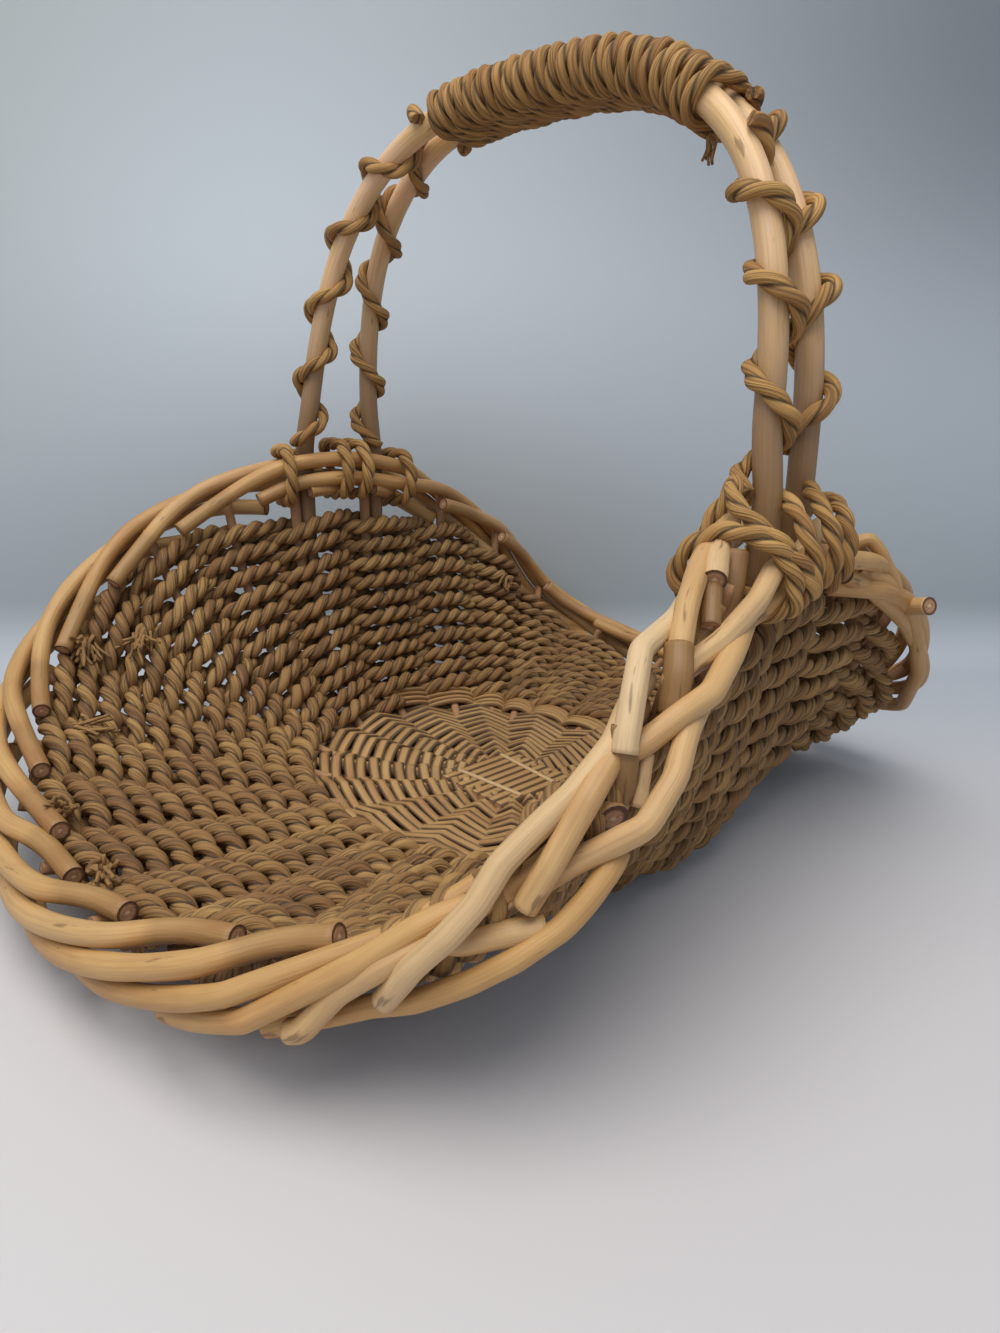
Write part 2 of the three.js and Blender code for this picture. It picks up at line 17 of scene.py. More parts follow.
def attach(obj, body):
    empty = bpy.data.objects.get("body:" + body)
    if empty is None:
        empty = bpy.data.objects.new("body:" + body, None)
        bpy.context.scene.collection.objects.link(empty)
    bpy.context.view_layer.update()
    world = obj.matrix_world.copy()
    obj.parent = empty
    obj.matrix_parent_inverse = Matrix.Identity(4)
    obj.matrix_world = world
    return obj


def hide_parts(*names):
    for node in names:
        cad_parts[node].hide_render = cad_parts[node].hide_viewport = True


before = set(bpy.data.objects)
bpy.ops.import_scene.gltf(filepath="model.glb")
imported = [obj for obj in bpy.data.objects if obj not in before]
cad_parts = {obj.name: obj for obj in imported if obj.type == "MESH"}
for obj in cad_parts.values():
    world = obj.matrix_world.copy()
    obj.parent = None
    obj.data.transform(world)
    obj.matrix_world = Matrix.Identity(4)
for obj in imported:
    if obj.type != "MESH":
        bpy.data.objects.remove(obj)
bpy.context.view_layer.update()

MM = 0.001
SEED = 7
random = np.random.default_rng(SEED)
noise.seed_set(SEED)


def added(name, data):
    """A new object in the scene."""
    made = bpy.data.objects.new(name, data)
    bpy.context.scene.collection.objects.link(made)
    return made


print("solids in the frame:", len(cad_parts))

# %% [markdown]
# ## Camera
# The camera stands close to the front scoop and a little above the rim, which is what makes the near
# side so large in the picture. Its place and turn were fitted to the rim, the base and the handle.
# The sensor's size lies along the longer side of the picture, which is its height.

# %% Camera
CAMERA_PLACE = Vector((-300.6, -309.2, 208.4)) * MM
CAMERA_YAW = 0.781
CAMERA_PITCH = 0.307
CAMERA_ROLL = 0.036
FOCAL_PIXELS = 872.2
PHOTO_HEIGHT = 1333
SENSOR = 36
CLIP_START = 10 * MM


def place_camera():
    ahead = Vector((
        math.sin(CAMERA_YAW) * math.cos(CAMERA_PITCH),
        math.cos(CAMERA_YAW) * math.cos(CAMERA_PITCH),
        -math.sin(CAMERA_PITCH),
    ))
    level = Vector((math.cos(CAMERA_YAW), -math.sin(CAMERA_YAW), 0))
    upright = level.cross(ahead)
    right = math.cos(CAMERA_ROLL) * level + math.sin(CAMERA_ROLL) * upright
    up = -math.sin(CAMERA_ROLL) * level + math.cos(CAMERA_ROLL) * upright
    data = bpy.data.cameras.new("camera")
    data.sensor_width = SENSOR
    data.lens = FOCAL_PIXELS * SENSOR / PHOTO_HEIGHT
    data.clip_start = CLIP_START
    camera = added("camera", data)
    turn = Matrix((right, up, -ahead)).transposed().to_4x4()
    camera.matrix_world = Matrix.Translation(CAMERA_PLACE) @ turn
    bpy.context.scene.camera = camera
    print("camera lens in mm:", round(data.lens, 2))


place_camera()

# %% [markdown]
# ## The rim, the wall and its uprights
# The rim is one closed curve through twelve stations: low at both scoops, high where the handle
# stands. A stake runs from the base's edge up to the rim in a shallow swelling curve. The wall is
# then a table of such lines, and any place on it is read by its distance round the rim and its share
# of the way up. Everything woven is laid out on this table.

# %% Paths
def unit(vectors):
    return vectors / np.linalg.norm(vectors, axis=-1, keepdims=True)


def travel_of(points):
    """Length along a path at each of its points."""
    return np.concatenate([[0], np.cumsum(np.linalg.norm(np.diff(points, axis=0), axis=1))])


def read_path(points, travel, at):
    """The path's values at given lengths along it."""
    return np.stack([np.interp(at, travel, points[:, k]) for k in range(3)], axis=-1)


def through(a, b, c, d, share):
    """A share of the way from b to c, on the smooth curve that comes from a and goes on to d."""
    return 0.5 * (2 * b + (c - a) * share + (2 * a - 5 * b + 4 * c - d) * share ** 2
                  + (3 * b - a - 3 * c + d) * share ** 3)


# %% Rim curve
# The stations run from the back end's lip round the far side to the front scoop's lip. The near side
# mirrors them.
RIM_HALF = np.array([
    [190, 0, 30], [187, 123, 52], [129, 146, 115], [8, 145, 159],
    [-103, 173, 124], [-181, 140, 56], [-215, 0, 26],
]) * MM
RIM_STATIONS = np.vstack([RIM_HALF, RIM_HALF[-2:0:-1] * [1, -1, 1]])
STEPS_PER_STATION = 120
FAR_FOOT_STATION = 3
NEAR_FOOT_STATION = 9


def closed_curve(stations, steps):
    share = np.linspace(0, 1, steps, endpoint=False)[:, None]
    before, after, beyond = (np.roll(stations, shift, 0) for shift in (1, -1, -2))
    return np.vstack([through(*four, share) for four in zip(before, stations, after, beyond)])


rim_curve = closed_curve(RIM_STATIONS, STEPS_PER_STATION)
rim_closed = np.vstack([rim_curve, rim_curve[:1]])
rim_travel = travel_of(rim_closed)
RIM_LENGTH = rim_travel[-1]
FAR_FOOT = rim_travel[FAR_FOOT_STATION * STEPS_PER_STATION]
NEAR_FOOT = rim_travel[NEAR_FOOT_STATION * STEPS_PER_STATION]
print("rim length in mm:", round(RIM_LENGTH / MM))

# %% Wall table
BASE_HALF_LENGTH = 88 * MM
BASE_HALF_WIDTH = 109 * MM
BASE_CENTRE = np.array([3 * MM, 0, 0])
SOCKET_HEIGHT = 9.8 * MM
WALL_BULGE = 12 * MM
# The share of the way out and up at which a line bends.
WALL_BEND = [0.55, 0.55, 0.2]
WALL_SAMPLES = 161
WALL_LINES = 732
WALL_LEVELS = 81
AWAY_DROP = -20 * MM


def wall_table():
    """Place, rising, along and outward at even levels of many lines, and the length of each line."""
    distance = np.arange(WALL_LINES) * RIM_LENGTH / WALL_LINES
    top = read_path(rim_closed, rim_travel, np.mod(distance, RIM_LENGTH))
    angle = np.arctan2(top[:, 1] / BASE_HALF_WIDTH, (top[:, 0] - BASE_CENTRE[0]) / BASE_HALF_LENGTH)
    out = np.stack([np.cos(angle), np.sin(angle), np.zeros(WALL_LINES)], axis=-1)
    foot = BASE_CENTRE + out * [BASE_HALF_LENGTH, BASE_HALF_WIDTH, 0] + [0, 0, SOCKET_HEIGHT]
    rise = top - foot
    steepness = rise[:, 2:] / np.linalg.norm(rise, axis=1, keepdims=True)
    middle = foot + rise * WALL_BEND + out * WALL_BULGE * steepness
    t = np.linspace(0, 1, WALL_SAMPLES)[None, :, None]
    curve = ((1 - t) ** 2 * foot[:, None] + 2 * t * (1 - t) * middle[:, None] + t ** 2 * top[:, None])
    place = np.empty((WALL_LINES, WALL_LEVELS, 3))
    length = np.empty(WALL_LINES)
    for i, line in enumerate(curve):
        travel = travel_of(line)
        length[i] = travel[-1]
        place[i] = read_path(line, travel, np.linspace(0, travel[-1], WALL_LEVELS))
    rising = unit(np.gradient(place, axis=1))
    along = unit(np.roll(place, -1, 0) - np.roll(place, 1, 0))
    outward = unit(np.cross(rising, along))
    # The outer side of the wall looks away from the middle and a little down.
    away = place - BASE_CENTRE
    away[..., 2] = AWAY_DROP
    outward *= np.sign(np.sum(outward * away, axis=-1, keepdims=True))
    return np.concatenate([place, rising, along, outward], axis=-1), length


wall_grid, wall_lengths = wall_table()


def wall_lines_at(distance):
    """The two wall lines beside a distance round the rim, and the share of the way between them."""
    row = np.mod(distance, RIM_LENGTH) * WALL_LINES / RIM_LENGTH
    low = np.floor(row).astype(int) % WALL_LINES
    return low, (low + 1) % WALL_LINES, row - np.floor(row)


def wall_length(distance):
    low, high, part = wall_lines_at(distance)
    return wall_lengths[low] * (1 - part) + wall_lengths[high] * part


def wall_place(distance, share):
    """Point, rising, along and outward directions of the wall."""
    distance, share = np.broadcast_arrays(np.asarray(distance, float), np.asarray(share, float))
    low, high, part = wall_lines_at(distance)
    level = np.clip(share, 0, 1) * (WALL_LEVELS - 1)
    left = np.minimum(np.floor(level).astype(int), WALL_LEVELS - 2)
    a = part[..., None]
    b = (level - left)[..., None]
    mixed = ((wall_grid[low, left] * (1 - a) + wall_grid[high, left] * a) * (1 - b)
             + (wall_grid[low, left + 1] * (1 - a) + wall_grid[high, left + 1] * a) * b)
    return mixed[..., :3], unit(mixed[..., 3:6]), unit(mixed[..., 6:9]), unit(mixed[..., 9:])


def stops_line(stops, start=0):
    """Points from stops in mm: distance round the rim from the start, outward, and up the wall."""
    place = np.array(stops) * MM
    point, rising, _, outward = wall_place(start + place[:, 0], 1)
    return point + outward * place[:, 1:2] + rising * place[:, 2:]


print("wall height at the near foot in mm:", round(float(wall_length(NEAR_FOOT)) / MM))

# %% Uprights
NEAR_SPREAD = 15.8 * MM
FAR_SPREAD = 22.9 * MM
FRONT_STAKES = 14
BACK_STAKES = 10


def between(start, end, count):
    return [start + (end - start) * i / (count + 1) for i in range(1, count + 1)]


# Each upright's distance round the rim, and whether it is a leg of the handle.
uprights = [(FAR_FOOT - FAR_SPREAD, True), (FAR_FOOT + FAR_SPREAD, True)]
uprights += [(s, False) for s in between(FAR_FOOT + FAR_SPREAD, NEAR_FOOT - NEAR_SPREAD, FRONT_STAKES)]
uprights += [(NEAR_FOOT - NEAR_SPREAD, True), (NEAR_FOOT + NEAR_SPREAD, True)]
uprights += [(s, False) for s in
             between(NEAR_FOOT + NEAR_SPREAD, RIM_LENGTH + FAR_FOOT - FAR_SPREAD, BACK_STAKES)]
print("uprights:", len(uprights))

# %% [markdown]
# ## Shader maths
# A material here is mostly arithmetic on noise and on the piece's own measures. One small class wraps
# a socket, so that an ordinary expression adds the Math nodes, and one method makes any other node.

# %% Shader helper
class Shade:
    """A node socket that takes part in Python arithmetic."""

    def __init__(self, tree, socket):
        self.tree = tree
        self.socket = socket

    def node(self, kind, settings, inputs, output=0):
        made = self.tree.nodes.new(kind)
        for name, value in settings.items():
            setattr(made, name, value)
        for name, value in inputs.items():
            if isinstance(value, Shade):
                self.tree.links.new(value.socket, made.inputs[name])
            else:
                made.inputs[name].default_value = value
        return Shade(self.tree, made.outputs[output])

    def math(self, operation, *others):
        inputs = dict(enumerate((self, *others)))
        return self.node("ShaderNodeMath", {"operation": operation}, inputs)

    def __add__(self, other):
        return self.math("ADD", other)

    __radd__ = __add__

    def __sub__(self, other):
        return self.math("SUBTRACT", other)

    def __rsub__(self, other):
        return self * -1 + other

    def __mul__(self, other):
        return self.math("MULTIPLY", other)

    def between(self, low, high):
        inputs = {"Value": self, "From Min": low, "From Max": high}
        return self.node("ShaderNodeMapRange", {"interpolation_type": "SMOOTHSTEP"}, inputs)

    def split(self):
        made = self.node("ShaderNodeSeparateXYZ", {}, {0: self})
        return [Shade(self.tree, made.socket.node.outputs[k]) for k in range(3)]

    def join(self, x, y, z):
        return self.node("ShaderNodeCombineXYZ", {}, {0: x, 1: y, 2: z})

    def noise(self, scale, detail=3, rough=0.55):
        inputs = {"Vector": self, "Scale": scale, "Detail": detail, "Roughness": rough}
        return self.node("ShaderNodeTexNoise", {}, inputs)

    def blend(self, first, second):
        """Mix two colours by this factor."""
        inputs = {0: self, 6: first, 7: second}
        return self.node("ShaderNodeMix", {"data_type": "RGBA"}, inputs, 2)

    def stretch(self, x, y, z):
        return self.node("ShaderNodeVectorMath", {"operation": "MULTIPLY"}, {0: self, 1: (x, y, z)})

    def attribute(self, name, output=2):
        """A value that the mesh carries: output 1 is a vector and output 2 a number."""
        return self.node("ShaderNodeAttribute", {"attribute_name": name}, {}, output)


def shade_of(name):
    """A new material with its shader node, and a first socket to start expressions from."""
    made = bpy.data.materials.new(name)
    made.use_nodes = True
    tree = made.node_tree
    surface = tree.nodes["Principled BSDF"]
    place = Shade(tree, tree.nodes.new("ShaderNodeTexCoord").outputs["Object"])
    return made, surface, place


def dress(surface, colour, roughness, height, depth):
    """Join the worked-out values to the shader."""
    tree = surface.id_data
    bump = height.node("ShaderNodeBump", {}, {"Height": height, "Distance": depth, "Strength": 1.0})
    tree.links.new(colour.socket, surface.inputs["Base Color"])
    tree.links.new(roughness.socket, surface.inputs["Roughness"])
    tree.links.new(bump.socket, surface.inputs["Normal"])


def sRGB(red, green, blue):
    parts = [v / 255 for v in (red, green, blue)]
    linear = [v / 12.92 if v <= 0.04045 else ((v + 0.055) / 1.055) ** 2.4 for v in parts]
    return (*linear, 1)

# %% [markdown]
# ## Finishes
# Every rod and rope carries a vector named `straight`: where a point of its surface would be if the
# piece were pulled out straight along Z and untwisted. Grain and fibres are noise on that vector,
# stretched along Z, so they follow each bend and twist of the real piece.

# %% Rope finish
PLY_OFFSET = 0.0014
BLADE_TURN = 150.0


def rope_finish(name, *colours):
    """Seagrass: flat blades run slantwise in each ply, with painted shade in the grooves between the
    plies. The colours are those of fresh blades, dull blades, the gaps between blades, and the painted
    shade in the grooves."""
    light, middle, dark, painted_groove_shade = (sRGB(*colour) for colour in colours)
    made, surface, place = shade_of(name)
    across, side, length = place.attribute("straight", 1).split()
    ply_sign = across.math("SIGN")
    offset = across.math("ABSOLUTE") - PLY_OFFSET
    turn = (side * ply_sign).math("ARCTAN2", offset) + length * BLADE_TURN
    spoke = place.join(turn.math("COSINE"), turn.math("SINE"), length * 9 + ply_sign * 3)
    blades = spoke.noise(2.6, 1, 0.5)
    fine = spoke.noise(9, 2, 0.6)
    patches = place.join(ply_sign * 0.8, length * 22, 0.5).noise(1.0, 3, 0.6)
    drift = place.noise(14, 2)
    groove = across.math("ABSOLUTE").between(0.0001, 0.0013)
    colour = patches.between(0.35, 0.65).blend(middle, light)
    colour = (drift.between(0.4, 0.65) * 0.6).blend(colour, middle)
    colour = ((1 - blades.between(0.38, 0.52)) * 0.6).blend(colour, dark)
    colour = ((1 - fine.between(0.35, 0.5)) * 0.35).blend(colour, dark)
    # Painted shade in the grooves where the two plies meet.
    colour = ((1 - groove) * 0.8).blend(colour, painted_groove_shade)
    dress(surface, colour, 0.62 + fine * 0.3, blades * 1.6 + fine * 0.5, 0.0005)
    return made


# The last colour of each rope is the painted shade in its grooves.
wall_rope = rope_finish("wall_rope", (178, 138, 82), (144, 103, 60), (76, 53, 30), (30, 20, 12))
bound_rope = rope_finish("bound_rope", (196, 152, 88), (162, 116, 62), (96, 64, 32), (46, 30, 14))
frayed_rope = rope_finish("frayed_rope", (206, 166, 104), (174, 132, 78), (104, 72, 40), (146, 108, 64))

# %% Willow finish
PALE_WOOD = sRGB(214, 182, 138)
CUT_WOOD = sRGB(176, 132, 96)
CUT_RAYS = sRGB(84, 54, 36)
CUT_BARK = sRGB(92, 58, 38)
CUT_PITH = sRGB(214, 182, 150)


def willow_finish(name, light, warm, dark, roughness, edge_shade=0.0, foot=0.0):
    """Peeled willow: satin skin with long fine grain, orange and grey patches, and small knots.
    A tone above a half makes a piece paler and one below it browner. The edge argument paints shade
    along the long edges of a strip or stick, and `foot` paints shade on the lower part of the handle."""
    light, warm, dark = (sRGB(*colour) for colour in (light, warm, dark))
    made, surface, place = shade_of(name)
    vector = place.attribute("straight", 1)
    across, side, length = vector.split()
    tone = place.attribute("tone")
    cut = place.attribute("cut")
    grain = vector.stretch(900, 900, 22).noise(1.0, 4, 0.6)
    patches = vector.stretch(60, 60, 16).noise(1.0, 3, 0.6)
    flecks = vector.stretch(420, 420, 60).noise(1.0, 2, 0.5)
    colour = patches.between(0.35, 0.7).blend(light, warm)
    colour = (tone.between(0.5, 1.0)).blend(colour, PALE_WOOD)
    colour = (tone.between(0.5, 0.0) * 0.75).blend(colour, dark)
    colour = (flecks.between(0.66, 0.74) * 0.6).blend(colour, dark)
    colour = ((1 - grain.between(0.25, 0.6)) * 0.22).blend(colour, dark)
    # Painted shade: the handle grows darker lower down, towards its feet.
    if foot:
        colour = (place.split()[2].between(0.28, 0.18) * foot).blend(colour, dark)
    # Painted shade along the long edges, where strips and sticks meet.
    if edge_shade:
        colour = (across.math("ABSOLUTE").between(0.0011, 0.0023) * edge_shade).blend(colour, dark)
    face, rays = cut_face(vector, across, side)
    colour = cut.blend(colour, face)
    bumps = grain + flecks * 0.6 + rays * cut
    dress(surface, colour, roughness + grain * 0.15 + cut * 0.2, bumps, 0.0003)
    return made


def cut_face(vector, across, side):
    """A cut end: a brown rim of bark, paler wood with rays, and the pith."""
    reach = (across * across + side * side).math("SQRT")
    face = reach.between(0.0024, 0.0036).blend(CUT_WOOD, CUT_BARK)
    face = ((1 - reach.between(0.0006, 0.0011)) * 0.9).blend(face, CUT_PITH)
    rays = vector.stretch(700, 700, 0).noise(1.0, 3, 0.7)
    return (rays.between(0.45, 0.7) * 0.6).blend(face, CUT_RAYS), rays


border_willow = willow_finish("border_willow", (200, 156, 96), (176, 124, 72), (98, 66, 38), 0.45)
# The handle has painted shade towards its feet.
handle_willow = willow_finish("handle_willow", (222, 180, 122), (232, 190, 150), (112, 78, 42), 0.35,
                              foot=0.8)
stake_willow = willow_finish("stake_willow", (178, 134, 92), (166, 116, 80), (108, 72, 48), 0.6)
# The split willow of the base has painted shade along the edges of its strips and sticks.
split_willow = willow_finish("split_willow", (190, 149, 92), (166, 119, 72), (64, 42, 26), 0.6, edge_shade=0.8)

# %% [markdown]
# ## Rods and ropes as sweeps
# A rod or a rope is a profile swept along a path. A curve object does that with its bevel, and its
# tilt turns the profile, which is what lays the two plies of a rope round each other. The mesh is
# then taken from the curve, and each point gets its `straight` vector.

# %% Profiles
def round_profile(sides):
    return [(math.cos(2 * math.pi * k / sides), math.sin(2 * math.pi * k / sides)) for k in range(sides)]


def ply_profile(per_ply, bulge=0.66):
    """Two round plies pressed together, within a circle of radius 1."""
    offset = 1 - bulge
    half = math.pi - math.acos(offset / bulge)
    right = [(offset + bulge * math.cos(a), bulge * math.sin(a))
             for a in np.linspace(-half, half, per_ply + 1)[:-1]]
    return right + [(-x, -y) for x, y in right]


# %% Sweep helper
def even_path(points, step, *extras):
    """The same path with its points at even steps, and each extra value read at them."""
    travel = travel_of(points)
    count = max(int(round(travel[-1] / step)), 2)
    at = np.linspace(0, travel[-1], count + 1)
    return (read_path(points, travel, at), *[np.interp(at, travel, extra) for extra in extras])


def smooth_path(points, rounds):
    for _ in range(rounds):
        points = np.vstack([points[:1], (points[:-2] + 2 * points[1:-1] + points[2:]) / 4, points[-1:]])
    return points


def wobble(path, size, scale, seed):
    """A slight natural crookedness; a larger scale makes shorter bends."""
    shifts = [noise.noise_vector(Vector(p) * scale + Vector((seed, seed * 2, 0))) for p in path]
    return path + np.array(shifts) * size


def close_ends(mesh, count):
    """A curve's caps come first and stand loose, so they are made again on the first and last ring."""
    bm = bmesh.new()
    bm.from_mesh(mesh)
    bm.verts.ensure_lookup_table()
    bmesh.ops.delete(bm, geom=bm.verts[:2 * count], context="VERTS")
    bm.verts.ensure_lookup_table()
    bm.faces.new(bm.verts[:count])
    bm.faces.new(bm.verts[-count:])
    bm.to_mesh(mesh)
    bm.free()


def poly_curve(name, dimensions, points):
    """A curve object of straight runs through the points, and its spline."""
    curve = bpy.data.curves.new(name, "CURVE")
    curve.dimensions = dimensions
    spline = curve.splines.new("POLY")
    spline.points.add(len(points) - 1)
    spline.points.foreach_set("co", np.ravel(points))
    return added(name, curve), spline


def swept_mesh(points, radii, tilts, corners, twist="Z_UP"):
    """One closed tube along the points, with its `straight` vectors. The radii and the tilts are one
    value for each point, or one for all."""
    radii, tilts = (np.ones(len(points)) * values for values in (radii, tilts))
    profile, outline = poly_curve("profile", "2D", [(x, y, 0, 1) for x, y in corners])
    outline.use_cyclic_u = True
    holder, spline = poly_curve("sweep", "3D", np.column_stack([points, np.ones(len(points))]))
    spline.points.foreach_set("radius", radii)
    spline.points.foreach_set("tilt", tilts)
    holder.data.twist_mode = twist
    holder.data.bevel_mode = "OBJECT"
    holder.data.bevel_object = profile
    holder.data.use_fill_caps = True
    graph = bpy.context.evaluated_depsgraph_get()
    mesh = bpy.data.meshes.new_from_object(holder.evaluated_get(graph))
    for spare in (holder, profile):
        data = spare.data
        bpy.data.objects.remove(spare)
        bpy.data.curves.remove(data)
    close_ends(mesh, len(corners))
    flat = np.tile(np.asarray(corners), (len(points), 1)) * np.repeat(radii, len(corners))[:, None]
    along = np.repeat(travel_of(points), len(corners))
    straight = mesh.attributes.new("straight", "FLOAT_VECTOR", "POINT")
    straight.data.foreach_set("vector", np.column_stack([flat, along]).astype(np.float32).ravel())
    return mesh


def round_tube(path, radii, sides):
    return swept_mesh(path, radii, 0, round_profile(sides), "MINIMUM")


def joined(name, meshes, material, nodes, tones=None):
    """One piece from its meshes, closed and facing out, in place of its solids."""
    bm = bmesh.new()
    cut = bm.faces.layers.float.new("cut")
    tone = bm.verts.layers.float.new("tone")
    for k, mesh in enumerate(meshes):
        first_face, first_vert = len(bm.faces), len(bm.verts)
        bm.from_mesh(mesh)
        bm.faces.ensure_lookup_table()
        bm.verts.ensure_lookup_table()
        for face in bm.faces[first_face:]:
            face.smooth = len(face.verts) <= 4
            face[cut] = 0.0 if face.smooth else 1.0
        value = 0.5 if tones is None else tones[k]
        for vert in bm.verts[first_vert:]:
            vert[tone] = value
        bpy.data.meshes.remove(mesh)
    bmesh.ops.recalc_face_normals(bm, faces=bm.faces)
    made = bpy.data.meshes.new(name)
    bm.to_mesh(made)
    bm.free()
    made.materials.append(material)
    piece = added(name, made)
    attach(piece, "root")
    if nodes:
        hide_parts(*nodes)
    return piece

# %% [markdown]
# ## The twined wall
# Two ropes climb the wall in one long spiral. At each stake one of them is inside and the other
# outside, and between two stakes they cross, so each rope is a slow helix round the row's own line.
# A rope is followed in counts of stakes: at a whole count it is beside a stake, at a half count it
# crosses its partner. Its line is cut in two for size, and each half is swept as a left-handed rope.

# %% Twined strands
ROPE_RADIUS = 4.65 * MM
ROPE_PRESS = 1.1 * MM
ROPE_SHARPNESS = 1.2
CROSSING_SQUEEZE = 0.14
CROSSING_LIFT = 0.32
LINE_JOLT = 0.35 * MM
WIDTH_JOLT = 0.04
USUAL_PITCH = 10.4 * MM
WIDTH_LIMITS = (0.92, 1.12)
OFF_FLOOR = 0.2 * MM
LAY_PITCH = 18.5 * MM
LAY_STEP = 1.25 * MM
ROW_TURNS = 10.5
FIRST_ROW = 6.8 * MM
TOP_GAP = 13.5 * MM
TOP_GAP_AT_FEET = 25.5 * MM
FULL_END_RISE = 5 * MM
BACK_END_RISE = 10 * MM
# Distances round the rim where these rises begin, are whole, fade and end.
FULL_END = np.array([430, 500, 960, 1020]) * MM
BACK_END = np.array([1060, 1180, 1300, 1370]) * MM
BESIDE_FOOT = (38 * MM, 90 * MM)
STAKE_RADIUS = 2.6 * MM
LEG_TIP_RADIUS = 2.6 * MM
LEG_RADIUS = 5.5 * MM
LEG_TAPER = 2.2
PER_PLY = 7
COUNT_STEP = 0.02


def smooth_step(low, high, value):
    share = np.clip((value - low) / (high - low), 0, 1)
    return share * share * (3 - 2 * share)


def nearness_to_foot(distance):
    around = np.mod(distance, RIM_LENGTH)
    off = np.minimum(np.abs(around - FAR_FOOT), np.abs(around - NEAR_FOOT))
    return 1 - smooth_step(*BESIDE_FOOT, off)


def within(distance, begin, whole, fade, end):
    around = np.mod(distance, RIM_LENGTH)
    return smooth_step(begin, whole, around) * (1 - smooth_step(fade, end, around))


def leg_radius(share):
    return LEG_TIP_RADIUS + (LEG_RADIUS - LEG_TIP_RADIUS) * np.clip(share, 0, 1) ** LEG_TAPER


def jitter(count, size, at):
    """Random values at whole numbers, read smoothly between them."""
    values = random.normal(0, size, count + 2)
    low = np.floor(at).astype(int)
    part = smooth_step(0, 1, at - low)
    return values[low] * (1 - part) + values[low + 1] * part


def distance_of(count):
    """Distance round the rim at a count of uprights, over as many rounds as it takes."""
    stakes = len(uprights)
    whole = np.arange(int(count[-1]) + 3)
    marks = np.array([uprights[i % stakes][0] + (i // stakes) * RIM_LENGTH for i in whole])
    return np.interp(count, whole, marks)


def row_pitch(distance):
    top_gap = TOP_GAP + (TOP_GAP_AT_FEET - TOP_GAP) * nearness_to_foot(distance)
    top_gap -= FULL_END_RISE * within(distance, *FULL_END) + BACK_END_RISE * within(distance, *BACK_END)
    return (wall_length(distance) - FIRST_ROW - top_gap) / ROW_TURNS


def twined_line(side, count, lowered, strand, lift, jolt):
    """A strand's line, and how near each point is to a crossing."""
    distance = distance_of(count)
    pitch = row_pitch(distance)
    share = (FIRST_ROW - lowered + count / len(uprights) * pitch) / wall_length(distance)
    point, rising, _, outward = wall_place(distance, share)
    nearest = np.round(count).astype(int) % len(uprights)
    is_leg = np.array([leg for _, leg in uprights])[nearest]
    upright_radius = np.where(is_leg, leg_radius(share), STAKE_RADIUS)
    swing = np.tanh(ROPE_SHARPNESS * np.cos(np.pi * count)) / np.tanh(ROPE_SHARPNESS)
    last = int(count[-1]) + 1
    reach = upright_radius + strand + jitter(last, jolt, count)
    drop = side * np.sin(np.pi * count) * lift * pitch + jitter(last, jolt, count)
    line = point - outward * (side * swing * reach)[:, None] - rising * drop[:, None]
    return line, np.sin(np.pi * count) ** 2


def lay_turns(path, pitch):
    """The left-handed twist of the plies, a little uneven as in real rope."""
    travel = travel_of(path)
    drift = 1 + 0.06 * np.sin(travel * 31) + 0.05 * np.sin(travel * 87 + 1)
    return -2 * np.pi * np.cumsum(np.diff(travel, prepend=0) * drift) / pitch


def twined_rope(letter, side):
    count = np.arange(0, int(ROW_TURNS * len(uprights)), COUNT_STEP)
    line, crossing = twined_line(side, count, 0, ROPE_RADIUS - ROPE_PRESS, CROSSING_LIFT, LINE_JOLT)
    line[:, 2] = np.maximum(line[:, 2], ROPE_RADIUS + OFF_FLOOR)
    uneven = 1 + jitter(int(count[-1]) + 1, WIDTH_JOLT, count)
    width = ROPE_RADIUS * (1 - CROSSING_SQUEEZE * crossing) * uneven
    width *= np.clip(row_pitch(distance_of(count)) / USUAL_PITCH, *WIDTH_LIMITS)
    path, radii = even_path(line, LAY_STEP, width)
    turns = lay_turns(path, LAY_PITCH)
    middle = len(path) // 2
    for part, piece in (("lower", slice(0, middle + 1)), ("upper", slice(middle, None))):
        name = f"twined_rope_{letter}_{part}"
        mesh = swept_mesh(path[piece], radii[piece], turns[piece], ply_profile(PER_PLY))
        joined(name, [mesh], wall_rope, [f"weave_rope_{letter}"])
    print("rope", letter, "length in m:", round(travel_of(path)[-1], 2))


twined_rope("a", 1)
twined_rope("b", -1)

# %% [markdown]
# ## Stakes
# The stakes are thin peeled rods, pushed into the base and bent up into the wall. They show between
# the rows of rope and above the last row, where they run up under the border.

# %% Stakes
SOCKET_DEPTH = 13 * MM
SOCKET_LEAD = 1.8 * MM
SOCKET_DIP = np.array([0, 0, 4 * MM])
UPRIGHT_POINTS = 40
STAKE_RISE = 3 * MM
STAKE_ROUNDS = 3
STAKE_STEP = 3 * MM
STAKE_SIDES = 12
STAKE_WOBBLE = (0.5 * MM, 25)
COMPANION_RADIUS = 3.1 * MM
COMPANION_SHIFT = 8.5 * MM
COMPANION_INSIDE = 1.5 * MM


def upright_line(distance, rise):
    """An upright's line from its socket to above the rim, and the share of the wall at each point."""
    share = np.linspace(0, 1, UPRIGHT_POINTS)
    point, rising, _, _ = wall_place(distance, share)
    level = unit(rising[0] * [1, 1, 0])
    start = np.array([point[0] - level * SOCKET_DEPTH - SOCKET_DIP, point[0] + level * SOCKET_LEAD])
    line = np.vstack([start, point[1:], point[-1:] + rising[-1:] * rise])
    return line, np.concatenate([[0, 0], share[1:], [1]])


